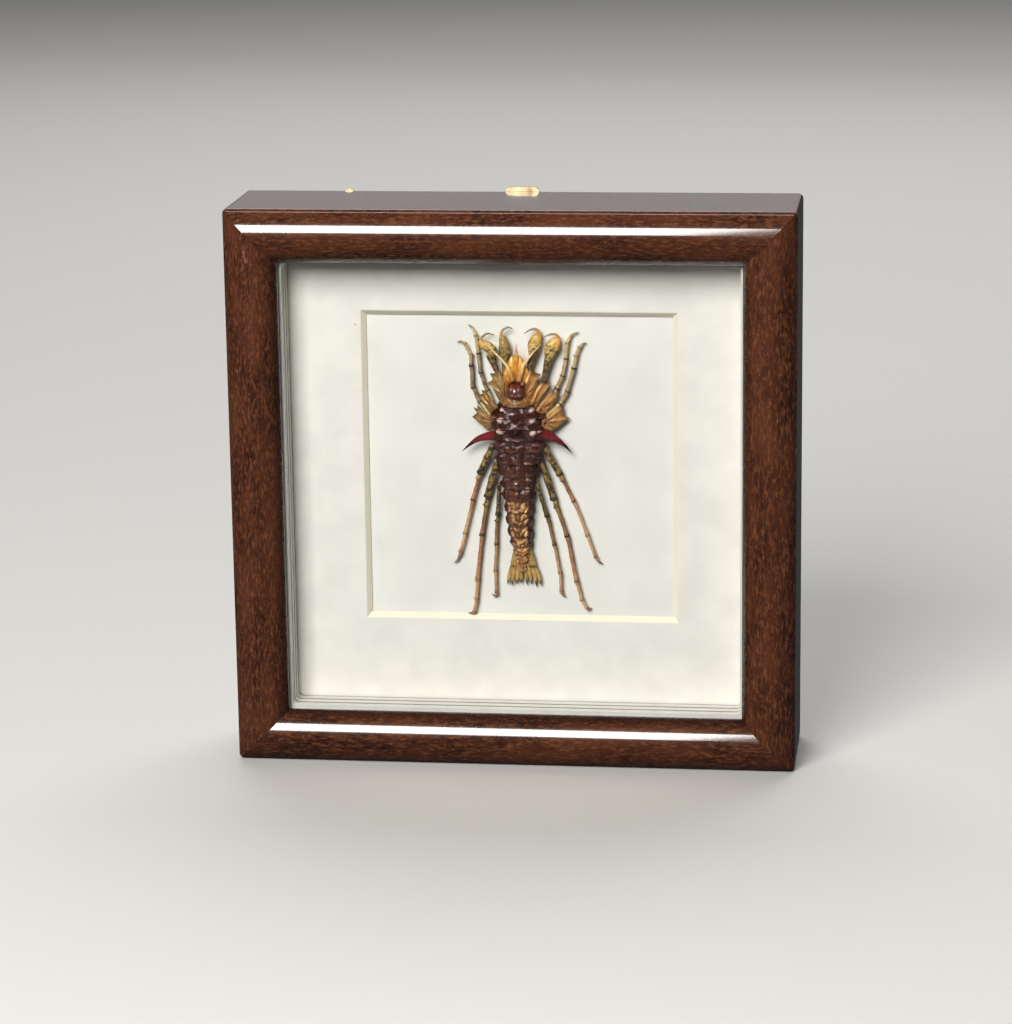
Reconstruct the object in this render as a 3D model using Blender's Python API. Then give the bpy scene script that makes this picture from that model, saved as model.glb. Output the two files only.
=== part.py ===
"""Framed amphipod specimen: a square box frame of dark half-round moulding, its glazing, three spacer
boards, a bevelled mat, the backing board that carries the dried amphipod, and the closed back with its
clips and hanging tab.

Lengths below are millimetres until a mesh is made. X runs across the frame, Y from the front to the back
and Z up. The origin is the middle of the flat underside that the frame stands on.
"""

import math

import bmesh
import bpy
from mathutils import Matrix, Vector

MM = 0.001

# The moulding
OUTER = 150.0
DEPTH = 32.1
RAIL_WIDTH = 14.1
CROWN_RISE = 3.7
SIGHT_Y = 0.3
LIP_BACK_Y = 1.0
LIP_WIDTH = 3.0
ARRIS = 0.5
GAP = 0.3

# The stack of flat pieces in the rabbet, front to back
SHEET = 127.2
GLASS_THICK = 1.0
SPACER_THICK = 2.8
SPACER_OPENING = 120.6
SPACER_CORNER = 1.2
MAT_THICK = 1.4
MAT_WINDOW = 84.1
MAT_BEVEL = 1.25
MAT_SHIFT = (1.1, 4.2)
BACKING_THICK = 1.5
PANEL_THICK = 2.5
PANEL_RECESS = 3.0

# The hardware on the back
SHEET_METAL = 1.0
CLIP_WIDTH = 4.0
CLIP_LENGTH = 20.0
CLIP_STEP = 2.6
SCREW_HEAD = 2.1
SCREW_HEAD_RISE = 1.1
SCREW_SHAFT = 1.0
SCREW_LENGTH = 7.0
TAB_WIDTH = 9.2
TAB_HEIGHT = 24.0
TAB_RISE = 1.2
TAB_HOLE = 2.0

HALF = OUTER / 2
RABBET = HALF - RAIL_WIDTH + LIP_WIDTH
GLASS_Y = LIP_BACK_Y + GAP
SPACER_Y = GLASS_Y + GLASS_THICK + GAP
MAT_Y = SPACER_Y + 3 * (SPACER_THICK + GAP)
BACKING_Y = MAT_Y + MAT_THICK + GAP
FILLER_Y = BACKING_Y + BACKING_THICK + GAP
PANEL_Y = DEPTH - PANEL_RECESS - PANEL_THICK
BACK_FACE_Y = DEPTH + GAP
SCREW_SEAT_Y = BACK_FACE_Y + SHEET_METAL + GAP
MIDDLE_Y = (SIGHT_Y / 2 - CROWN_RISE + SCREW_SEAT_Y + SCREW_HEAD_RISE) / 2

# The specimen. Its points are (x, z, height) from the middle of the frame and off the backing board.
TRUNK_OFFSET = (0.15, 0.3)
LIMB_OFFSET = (-0.2, -0.35)

# Trunk stations: z, middle x, half width, height of the back
TRUNK = (
    (23.6, 0.3, 3.4, 4.6), (21.0, 0.5, 5.2, 5.6), (19.0, 0.8, 6.5, 6.4), (17.0, 0.9, 7.1, 7.0),
    (15.0, 1.0, 7.1, 7.4), (13.0, 1.0, 6.8, 7.5), (9.0, 0.9, 6.5, 7.3), (6.0, 0.9, 6.2, 7.1),
    (3.0, 0.9, 5.6, 6.8), (0.0, 0.8, 5.0, 6.5), (-3.0, 0.7, 4.6, 6.2), (-6.0, 0.7, 4.2, 5.9),
    (-9.0, 0.7, 3.8, 5.5), (-12.0, 0.6, 3.6, 5.1), (-15.0, 0.6, 3.2, 4.6), (-18.0, 0.9, 2.8, 4.0),
    (-21.0, 1.2, 2.3, 3.3), (-24.0, 1.3, 1.7, 2.7), (-26.2, 1.3, 1.1, 2.2),
)
SEGMENT_EDGES = (23.4, 20.6, 17.8, 15.0, 12.0, 8.8, 5.4, 2.0, -1.4, -4.6, -8.0, -11.4, -14.8, -17.8, -20.6,
                 -23.2, -26.0)
TRUNK_SIDES = 14
TRUNK_WAIST = 0.38
BELLY = 0.35

# Walking legs: joints (x, z), the radius of each article between them, and the claw's last points
LEGS = {
    "left_3": (((-4.8, 20.5), (-7.2, 25.3), (-8.9, 30.2), (-9.4, 35.5), (-10.1, 40.2)),
               (0.75, 0.66, 0.62, 0.56), ((-10.9, 41.9), (-12.2, 42.9))),
    "left_4": (((-6.0, 18.3), (-9.3, 22.3), (-11.0, 26.2), (-11.4, 32.2), (-11.5, 35.2), (-12.9, 37.8)),
               (0.75, 0.70, 0.70, 0.60, 0.50), ((-14.0, 38.4), (-15.3, 38.1))),
    "left_5": (((-5.6, 11.0), (-9.4, 2.6), (-9.9, 1.3), (-11.6, -4.8), (-13.8, -14.2), (-15.1, -19.0)),
               (1.00, 0.76, 0.62, 0.58, 0.52), ((-15.9, -21.2), (-17.0, -22.3))),
    "left_6": (((-4.8, 6.0), (-7.5, -3.9), (-7.9, -6.0), (-9.2, -14.5), (-10.6, -27.0), (-11.0, -32.0),
                (-11.7, -35.6)), (1.05, 0.86, 0.72, 0.66, 0.60, 0.54), ((-12.3, -36.1), (-13.4, -36.0))),
    "left_7": (((-4.2, 0.5), (-4.8, -8.8), (-5.1, -10.4), (-5.3, -16.9), (-5.7, -24.3), (-5.5, -30.2)),
               (0.74, 0.62, 0.58, 0.54, 0.50), ((-6.0, -31.1), (-7.0, -30.5))),
    "right_3": (((7.5, 21.0), (11.4, 26.2), (12.9, 29.6), (13.8, 34.2), (14.2, 38.4)),
                (0.78, 0.70, 0.66, 0.60), ((15.3, 40.3), (17.4, 41.2))),
    "right_4": (((8.5, 18.6), (12.2, 22.0), (14.1, 25.4), (15.9, 31.8), (16.5, 35.0), (17.4, 37.2)),
                (0.78, 0.72, 0.66, 0.58, 0.50), ((18.3, 38.0), (19.4, 38.3))),
    "right_5": (((7.8, 11.0), (12.1, 2.6), (12.8, 1.2), (15.7, -4.7), (19.3, -14.2), (21.4, -19.9)),
                (0.96, 0.72, 0.60, 0.56, 0.50), ((22.2, -21.2), (23.3, -21.7))),
    "right_6": (((7.2, 6.2), (10.4, -4.2), (11.0, -6.2), (13.8, -14.4), (16.3, -27.0), (17.6, -31.8),
                 (19.0, -34.0)), (0.98, 0.80, 0.68, 0.64, 0.58, 0.50), ((19.5, -34.3), (20.2, -34.0))),
    "right_7": (((5.6, 1.5), (8.5, -9.0), (8.9, -10.3), (10.3, -16.8), (11.8, -24.5), (12.0, -29.6)),
                (0.68, 0.60, 0.56, 0.52, 0.48), ((12.4, -30.6), (13.3, -31.0))),
}
LEG_ROOT_HEIGHT = 3.2
LEG_HEIGHT = 1.5
CLAW_HEIGHT = 0.9

# Grasping limbs: arm, swollen hand and hooked finger, as (x, z, radius) along each
HANDS = {
    "left_inner": (((-2.2, 29.5, 0.8), (-2.4, 33.6, 0.8)),
                   ((-2.4, 33.2, 0.7), (-2.3, 36.6, 1.45), (-3.0, 40.4, 0.7)),
                   ((-3.3, 40.0, 0.4), (-2.8, 41.7, 0.32), (-1.5, 42.5, 0.22), (-0.2, 42.2, 0.08))),
    "left_outer": (((-3.8, 29.5, 0.75), (-5.2, 32.4, 0.85), (-6.3, 35.4, 1.25)),
                   ((-4.9, 35.7, 0.7), (-6.7, 37.1, 1.3), (-9.3, 38.5, 0.6)),
                   ((-8.9, 38.3, 0.4), (-8.2, 39.9, 0.32), (-6.8, 40.8, 0.22), (-4.9, 40.4, 0.08))),
    "right_inner": (((3.6, 30.0, 0.8), (4.6, 33.2, 0.85), (5.7, 36.0, 0.9)),
                    ((5.0, 35.2, 0.8), (5.5, 38.2, 1.6), (6.9, 41.2, 0.7)),
                    ((7.2, 40.6, 0.42), (6.3, 42.0, 0.34), (4.6, 41.9, 0.24), (2.8, 40.8, 0.08))),
    "right_outer": (((7.8, 27.5, 0.8), (8.6, 31.2, 0.85), (9.4, 34.4, 1.25)),
                    ((9.2, 34.4, 0.8), (10.2, 37.3, 1.8), (12.1, 39.6, 0.7)),
                    ((12.3, 39.2, 0.42), (11.5, 40.6, 0.32), (10.0, 40.8, 0.24), (8.2, 40.0, 0.08))),
}
HAND_HEIGHT = 2.3

# Toothed side plates, as outlines (x, z); their inner edge stands higher than their outer edge
PLATES = {
    "left_1": ((-2.4, 24.5), (-2.6, 28.5), (-4.0, 31.2), (-4.9, 30.6), (-5.2, 29.9), (-6.6, 29.7),
               (-5.6, 28.9), (-6.0, 27.9), (-7.3, 27.1), (-6.1, 26.3), (-4.8, 23.6), (-3.2, 20.8), (-1.6, 21.6)),
    "left_3": ((-4.2, 20.8), (-7.6, 24.8), (-8.8, 25.3), (-8.6, 24.2), (-9.9, 23.7), (-9.2, 22.6),
               (-6.2, 19.0)),
    "left_4": ((-5.0, 18.2), (-8.6, 19.8), (-10.1, 21.2), (-10.0, 20.1), (-11.2, 20.4), (-10.2, 18.9),
               (-11.6, 17.8), (-10.2, 16.9), (-8.6, 15.6), (-7.4, 14.4), (-5.0, 14.8)),
    "right_1": ((2.6, 25.0), (2.9, 29.5), (4.4, 31.3), (5.5, 30.1), (7.1, 29.7), (6.0, 28.5), (6.2, 26.8),
                (5.2, 24.6), (3.8, 20.8), (2.0, 21.6)),
    "right_2": ((3.6, 21.0), (6.2, 26.6), (8.0, 28.7), (8.6, 27.6), (9.8, 27.3), (8.8, 26.2), (7.2, 23.0),
                (5.4, 19.6)),
    "right_3": ((5.6, 20.2), (8.4, 23.9), (10.6, 26.0), (10.9, 24.9), (11.9, 24.3), (11.2, 22.8),
                (9.4, 20.0), (7.0, 18.4)),
    "right_4": ((7.0, 17.8), (11.0, 20.5), (13.1, 21.0), (12.9, 19.4), (13.3, 18.2), (14.7, 17.8),
                (13.3, 16.7), (11.2, 15.2), (9.6, 14.3), (7.0, 15.0)),
}
PLATE_THICK = 0.6
PLATE_SLOPE = 0.3
PLATE_ROOT_HEIGHT = 3.9

# Spines, horns, antenna bases and the uropods of the tail, as (x, z, height, radius) along each
SPINES = {
    "left_horn": ((-4.0, 13.1, 4.6, 1.3), (-7.4, 12.9, 3.8, 1.0), (-10.4, 11.8, 3.3, 0.68),
                  (-12.4, 10.4, 3.0, 0.36), (-14.3, 8.8, 2.8, 0.06)),
    "right_horn": ((6.0, 13.4, 4.6, 1.3), (8.8, 12.8, 3.8, 1.1), (11.2, 11.7, 3.3, 0.72),
                   (13.2, 10.3, 3.0, 0.36), (15.3, 8.5, 2.8, 0.06)),
    "rostrum": ((0.4, 27.0, 4.2, 1.0), (0.4, 33.0, 4.2, 0.8), (0.5, 35.6, 4.0, 0.5), (0.6, 38.0, 3.8, 0.06)),
    "left_antenna_base": ((-0.8, 26.5, 3.6, 1.0), (-1.2, 31.0, 3.6, 1.25), (-0.6, 34.8, 3.4, 0.35)),
    "right_antenna_base": ((1.6, 26.5, 3.6, 1.0), (1.9, 31.0, 3.6, 1.25), (1.3, 34.8, 3.4, 0.35)),
    "left_antenna": ((-1.2, 30.2, 3.2, 0.5), (-2.4, 32.6, 3.2, 0.4), (-6.9, 37.6, 3.4, 0.1)),
    "right_antenna": ((2.0, 30.2, 3.2, 0.5), (3.0, 32.6, 3.2, 0.4), (6.9, 37.0, 3.4, 0.1)),
}
TAIL_TIPS = ((-2.9, -28.6), (-1.7, -29.0), (-0.4, -28.4), (0.8, -28.2), (2.4, -28.6), (3.6, -28.4),
             (5.0, -29.2), (6.3, -28.7))
TAIL_ROOT = (1.1, -18.2)
TAIL_ROOT_SPREAD = 0.52

# Domes on the back: (x, z, height of the centre, radius)
DOMES = {
    "head": (0.4, 25.0, 3.6, 2.7),
    "left_eye": (-1.5, 26.8, 4.0, 0.75),
    "right_eye": (2.6, 26.8, 4.0, 0.75),
}
BUMPS = ((-3.2, 20.3), (3.9, 20.3), (0.2, 18.9), (-3.9, 17.2), (4.6, 17.3), (0.3, 16.6), (-3.9, 14.1),
         (5.3, 14.2), (0.6, 13.0), (0.9, 9.4), (0.9, 6.0), (0.9, 2.6), (0.8, -0.8), (0.8, -4.0), (0.9, -7.3),
         (1.0, -10.7), (1.1, -14.1))
BUMP_RADIUS = 0.85
BUMP_SINK = 0.3


def remove_everything():
    for obj in list(bpy.data.objects):
        bpy.data.objects.remove(obj, do_unlink=True)


def material(name, colour, roughness, metallic=0.0, alpha=1.0):
    made = bpy.data.materials.new(name)
    made.use_nodes = True
    shader = made.node_tree.nodes["Principled BSDF"]
    shader.inputs["Base Color"].default_value = (*colour, 1.0)
    shader.inputs["Roughness"].default_value = roughness
    shader.inputs["Metallic"].default_value = metallic
    shader.inputs["Alpha"].default_value = alpha
    return made


def add_object(name, points, faces, finish, smooth_angle=None):
    """A named object from points in millimetres, with Y measured from the frame's front arris."""
    mesh = bpy.data.meshes.new(name)
    centre = Vector((0.0, MIDDLE_Y, -HALF))
    mesh.from_pydata([(Vector(p) - centre) * MM for p in points], [], faces)
    work = bmesh.new()
    work.from_mesh(mesh)
    bmesh.ops.remove_doubles(work, verts=work.verts, dist=1e-6)
    bmesh.ops.recalc_face_normals(work, faces=work.faces)
    if work.calc_volume(signed=True) < 0:
        bmesh.ops.reverse_faces(work, faces=work.faces)
    work.to_mesh(mesh)
    work.free()
    mesh.materials.append(finish)
    if smooth_angle:
        mesh.shade_smooth()
        mesh.set_sharp_from_angle(angle=math.radians(smooth_angle))
    obj = bpy.data.objects.new(name, mesh)
    bpy.context.scene.collection.objects.link(obj)
    return obj


def lofted(rings):
    """Points and faces of a closed skin over rings of equal length, with a face over each end."""
    n = len(rings[0])
    points = [p for ring in rings for p in ring]
    faces = []
    for r in range(len(rings) - 1):
        for k in range(n):
            m = (k + 1) % n
            faces.append((r * n + k, r * n + m, (r + 1) * n + m, (r + 1) * n + k))
    faces.append(tuple(reversed(range(n))))
    faces.append(tuple(range((len(rings) - 1) * n, len(rings) * n)))
    return points, faces


def box_between(low, high):
    x, y, z = zip(low, high)
    front = [(x[i], y[0], z[j]) for i, j in ((0, 0), (1, 0), (1, 1), (0, 1))]
    back = [(p[0], y[1], p[2]) for p in front]
    return lofted([front, back])


def boolean(obj, other, operation):
    """Joins other to obj, or cuts it away, and drops other."""
    modifier = obj.modifiers.new("join", "BOOLEAN")
    modifier.operation = operation
    modifier.object = other
    modifier.solver = "EXACT"
    graph = bpy.context.evaluated_depsgraph_get()
    mesh = bpy.data.meshes.new_from_object(obj.evaluated_get(graph))
    obj.modifiers.clear()
    obj.data = mesh
    bpy.data.objects.remove(other, do_unlink=True)


def rail_profile():
    """The moulding's section as (inward from the outer edge, depth): the outer face, an arc over the
    front, then the lip, the rabbet's wall and the back."""
    chord = math.hypot(RAIL_WIDTH, SIGHT_Y)
    radius = (chord * chord / 4 + CROWN_RISE * CROWN_RISE) / (2 * CROWN_RISE)
    reach = math.asin(chord / 2 / radius)
    steps = 14
    front = []
    for k in range(1, steps):
        angle = -reach + 2 * reach * k / steps
        across = RAIL_WIDTH / 2 + radius * math.sin(angle)
        drop = SIGHT_Y * across / RAIL_WIDTH
        front.append((across, drop - radius * math.cos(angle) + radius - CROWN_RISE))
    return [
        (0.0, DEPTH), (0.0, ARRIS), (ARRIS, 0.0), *front, (RAIL_WIDTH, SIGHT_Y), (RAIL_WIDTH, LIP_BACK_Y),
        (RAIL_WIDTH - LIP_WIDTH, LIP_BACK_Y), (RAIL_WIDTH - LIP_WIDTH, DEPTH), (ARRIS, DEPTH),
    ]


def add_rail(name, quarter_turns, finish):
    """One mitred rail, drawn as the top one and then turned about the middle of the frame. The frame's
    sharp outer corner is cut off flat, so each end has a mitre face and a narrow corner face."""
    turn = Matrix.Rotation(math.radians(90 * quarter_turns), 3, "Y")
    ends = []
    for side in (-1, 1):
        ring = []
        for across, depth in rail_profile():
            reach = HALF - across - GAP / math.sqrt(2)
            if across == 0.0:
                reach -= 2 * ARRIS
            ring.append(turn @ Vector((side * reach, depth, HALF - across)))
        ends.append(ring)
    points, faces = lofted(ends)
    n = len(ends[0])
    faces = faces[:-2]
    for first in (0, n):
        faces.append(tuple(range(first + 2, first + n)))
        faces.append((first, first + 1, first + 2, first + n - 1))
    return add_object(name, points, faces, finish, smooth_angle=40)


def rounded_square(half_x, half_z, radius, middle=(0.0, 0.0), steps=3):
    """The outline of a square with round corners, as (x, z), anticlockwise from its right side."""
    outline = []
    for corner in range(4):
        sx = (1, -1, -1, 1)[corner]
        sz = (1, 1, -1, -1)[corner]
        for k in range(steps + 1):
            angle = math.radians(90 * corner + 90 * k / steps)
            outline.append((
                middle[0] + sx * (half_x - radius) + radius * math.cos(angle),
                middle[1] + sz * (half_z - radius) + radius * math.sin(angle),
            ))
    return outline


def add_board(name, front_y, thick, finish, window=None, bevel=0.0, corner=0.3, middle=(0.0, 0.0)):
    """A square board, whole or with a window whose front edge may be bevelled back."""
    half = SHEET / 2
    outer = rounded_square(half, half, corner if window is None else SPACER_CORNER)
    outer_front = [(x, front_y, z) for x, z in outer]
    outer_back = [(x, front_y + thick, z) for x, z in outer]
    if window is None:
        return add_object(name, *lofted([outer_front, outer_back]), finish)
    inner = window / 2
    front = rounded_square(inner, inner, corner, middle)
    back = rounded_square(inner - bevel, inner - bevel, corner, middle)
    rings = [outer_front, [(x, front_y, z) for x, z in front], [(x, front_y + thick, z) for x, z in back],
             outer_back]
    n = len(outer)
    points = [p for ring in rings for p in ring]
    faces = []
    for r in range(4):
        for k in range(n):
            m = (k + 1) % n
            a, b = r * n, ((r + 1) % 4) * n
            faces.append((a + k, a + m, b + m, b + k))
    return add_object(name, points, faces, finish)


def cylinder_along_y(x, z, radius, from_y, to_y, sides=12):
    rings = []
    for y in (from_y, to_y):
        rings.append([
            (x + radius * math.cos(2 * math.pi * k / sides), y, z + radius * math.sin(2 * math.pi * k / sides))
            for k in range(sides)
        ])
    return lofted(rings)


def add_screw(name, x, z, rail, finish):
    """A slotted pan-head screw over the sheet metal, in a pilot hole cut into its rail."""
    sides = 12
    seat_y = SCREW_SEAT_Y
    rings = []
    for radius, y in ((SCREW_SHAFT, seat_y - SCREW_LENGTH), (SCREW_SHAFT, seat_y), (SCREW_HEAD, seat_y),
                      (SCREW_HEAD, seat_y + 0.5), (SCREW_HEAD * 0.72, seat_y + SCREW_HEAD_RISE)):
        rings.append([
            (x + radius * math.cos(2 * math.pi * k / sides), y, z + radius * math.sin(2 * math.pi * k / sides))
            for k in range(sides)
        ])
    screw = add_object(name, *lofted(rings), finish, smooth_angle=35)
    slot = box_between((x - 3, seat_y + 0.6, z - 0.28), (x + 3, seat_y + 2, z + 0.28))
    boolean(screw, add_object("slot_cutter", *slot, finish), "DIFFERENCE")
    hole = cylinder_along_y(x, z, SCREW_SHAFT + GAP, seat_y - SCREW_LENGTH - GAP, DEPTH + 1, 10)
    boolean(rail, add_object("pilot_cutter", *hole, finish), "DIFFERENCE")
    return screw


def add_clip(name, x, rise, down, finish):
    """An offset clip: a round-ended strip on the rail's back that steps down onto the back panel. Its
    outer end stands past the frame's edge by rise."""
    panel_top = PANEL_Y + PANEL_THICK + GAP
    radius = CLIP_WIDTH / 2
    foot = RAIL_WIDTH - LIP_WIDTH + rise + 2 * GAP
    stations = []
    for k in range(5):
        angle = math.radians(90 * k / 4)
        stations.append((radius - radius * math.cos(angle), radius * math.sin(angle) + 0.02, BACK_FACE_Y))
    stations.append((foot, radius, BACK_FACE_Y))
    stations.append((foot + CLIP_STEP, radius, panel_top))
    for k in range(5):
        angle = math.radians(90 * k / 4)
        stations.append((CLIP_LENGTH - radius + radius * math.sin(angle), radius * math.cos(angle) + 0.02,
                         panel_top))
    rings = []
    for along, half, y in stations:
        z = down * (HALF + rise - along)
        rings.append([(x - half, y, z), (x + half, y, z), (x + half, y + SHEET_METAL, z),
                      (x - half, y + SHEET_METAL, z)])
    return add_object(name, *lofted(rings), finish)


def hole_through(obj, x, z, radius, from_y, to_y, finish):
    boolean(obj, add_object("hole_cutter", *cylinder_along_y(x, z, radius, from_y, to_y), finish),
            "DIFFERENCE")


def add_hanging_tab(finish):
    """The sheet brass hanging tab: a plate on the top rail's back with a round hole to hang it by."""
    top = HALF + TAB_RISE
    outline = [(x, z + top - TAB_HEIGHT / 2) for x, z in rounded_square(TAB_WIDTH / 2, TAB_HEIGHT / 2, 1.4)]
    layers = [[(x, y, z) for x, z in outline] for y in (BACK_FACE_Y, BACK_FACE_Y + SHEET_METAL)]
    tab = add_object("hanging_tab", *lofted(layers), finish)
    hole_through(tab, 0.0, top - TAB_HEIGHT + 5.2, TAB_HOLE, DEPTH - 2, DEPTH + 3, finish)
    return tab


def board_point(x, z, height, offset=(0.0, 0.0)):
    """A point of the specimen, given off the backing board's front face."""
    return Vector((x + offset[0], BACKING_Y - height, z + offset[1]))


def tube(stations, sides=6, flat=1.0):
    """A closed tube through (point, radius) stations; flat is its thickness off the board over its width."""
    rings = []
    for i, (point, radius) in enumerate(stations):
        before = stations[max(i - 1, 0)][0]
        after = stations[min(i + 1, len(stations) - 1)][0]
        along = (after - before).normalized()
        side = along.cross(Vector((0, 1, 0))).normalized()
        lift = side.cross(along).normalized()
        rings.append([
            point + radius * (math.cos(2 * math.pi * k / sides) * side
                              + flat * math.sin(2 * math.pi * k / sides) * lift)
            for k in range(sides)
        ])
    return lofted(rings)


def smooth_stations(rows, offset, steps=2):
    """(point, radius) stations through rows of (x, z, height, radius), rounded by a Catmull-Rom curve."""
    keys = [Vector(row) for row in rows]
    out = []
    for i in range(len(keys) - 1):
        p0, p1 = keys[max(i - 1, 0)], keys[i]
        p2, p3 = keys[i + 1], keys[min(i + 2, len(keys) - 1)]
        for k in range(steps):
            t = k / steps
            out.append(0.5 * (2 * p1 + (p2 - p0) * t + (2 * p0 - 5 * p1 + 4 * p2 - p3) * t * t
                              + (3 * p1 - p0 - 3 * p2 + p3) * t ** 3))
    out.append(keys[-1])
    return [(board_point(v[0], v[1], v[2], offset), max(v[3], 0.05)) for v in out]


def leg_stations(joints, radii, claw):
    """A walking leg: straight articles that swell at each joint, and a curved claw."""
    heights = [LEG_ROOT_HEIGHT] + [LEG_HEIGHT] * (len(joints) - 1)
    points = [board_point(x, z, h, LIMB_OFFSET) for (x, z), h in zip(joints, heights)]
    stations = []
    for i, radius in enumerate(radii):
        a, b = points[i], points[i + 1]
        stations.append((a.lerp(b, 0.05), radius * 0.85))
        stations.append((a.lerp(b, 0.5), radius))
        stations.append((a.lerp(b, 0.95), radius * 1.2))
    last = radii[-1]
    for (x, z), share in zip(claw, (0.62, 0.12)):
        stations.append((board_point(x, z, CLAW_HEIGHT, LIMB_OFFSET), max(last * share, 0.07)))
    return stations


def trunk_at(z):
    """Middle, half width and back height of the trunk at z, straight between its stations."""
    for (z1, *upper), (z0, *lower) in zip(TRUNK, TRUNK[1:]):
        if z >= z0:
            t = min(max((z - z0) / (z1 - z0), 0.0), 1.0)
            return [b + (a - b) * t for a, b in zip(upper, lower)]
    return list(TRUNK[-1][1:])


def trunk_surface(x, z):
    """How far the trunk's back stands off the board at x and z."""
    middle, half, back = trunk_at(z)
    low = TRUNK_WAIST * back
    across = min(abs(x - middle) / half, 0.98)
    return low + (back - low) * math.sqrt(1 - across * across)


def trunk_rings():
    """Overlapping segments: each narrows at its front edge and flares at its hind edge."""
    rings = []
    for front, hind in zip(SEGMENT_EDGES, SEGMENT_EDGES[1:]):
        length = front - hind
        for share, scale in ((0.06, 0.93), (0.5, 1.0), (0.9, 1.05)):
            z = front - share * length
            middle, half, back = trunk_at(z)
            ring = []
            for k in range(TRUNK_SIDES):
                angle = 2 * math.pi * k / TRUNK_SIDES
                low = TRUNK_WAIST * back
                rise = (back - low) * scale if math.sin(angle) > 0 else low - BELLY
                ring.append(board_point(middle + half * scale * math.cos(angle), z,
                                        low + rise * math.sin(angle), TRUNK_OFFSET))
            rings.append(ring)
    return lofted(rings)


def dome(x, z, height, radius, rings=5, sides=10):
    """A closed ball with its poles along the body's length, lying off the board."""
    loops = []
    for i in range(1, rings):
        polar = math.pi * i / rings
        loops.append([
            board_point(x + radius * math.sin(polar) * math.cos(2 * math.pi * k / sides),
                        z + radius * math.cos(polar),
                        height + radius * math.sin(polar) * math.sin(2 * math.pi * k / sides), TRUNK_OFFSET)
            for k in range(sides)
        ])
    return lofted(loops)


def plate(outline):
    """A thin toothed plate that slopes down and out from the trunk."""
    inner = min(abs(x) for x, z in outline)
    layers = []
    for lift in (0.0, PLATE_THICK):
        layers.append([
            board_point(x, z, PLATE_ROOT_HEIGHT - PLATE_SLOPE * (abs(x) - inner) - lift) for x, z in outline
        ])
    return lofted(layers)


def tail_blade(tip):
    """One uropod: a flat blade from the last segment to its spiked tip."""
    root_x = TAIL_ROOT[0] + TAIL_ROOT_SPREAD * (tip[0] - TAIL_ROOT[0])
    joint_x = root_x + 0.62 * (tip[0] - root_x)
    joint_z = TAIL_ROOT[1] - 5.2
    rows = ((root_x, TAIL_ROOT[1], 1.9, 0.7), (joint_x, joint_z, 1.5, 0.85),
            (0.4 * joint_x + 0.6 * tip[0], joint_z - 3.2, 1.3, 0.74), (*tip, 1.1, 0.07))
    return [(board_point(x, z, h), r) for x, z, h, r in rows]


def add_amphipod(finish):
    """The dried animal, grown as one: every limb, plate and spine is fused to the trunk."""
    body = add_object("amphipod", *trunk_rings(), finish)
    parts = [dome(*values) for values in DOMES.values()]
    for x, z in BUMPS:
        parts.append(dome(x, z, trunk_surface(x, z) - BUMP_SINK, BUMP_RADIUS, rings=4, sides=6))
    for rows in SPINES.values():
        parts.append(tube(smooth_stations(rows, TRUNK_OFFSET), sides=7))
    for outline in PLATES.values():
        parts.append(plate(outline))
    for joints, radii, claw in LEGS.values():
        parts.append(tube(leg_stations(joints, radii, claw)))
    for limb in HANDS.values():
        for rows, sides in zip(limb, (6, 8, 5)):
            keyed = [(x, z, HAND_HEIGHT, radius) for x, z, radius in rows]
            parts.append(tube(smooth_stations(keyed, LIMB_OFFSET), sides, flat=0.8))
    for tip in TAIL_TIPS:
        parts.append(tube(tail_blade(tip), sides=6, flat=0.45))
    for points, faces in parts:
        boolean(body, add_object("fused_part", points, faces, finish), "UNION")
    body.data.materials.clear()
    body.data.materials.append(finish)
    return body


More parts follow.
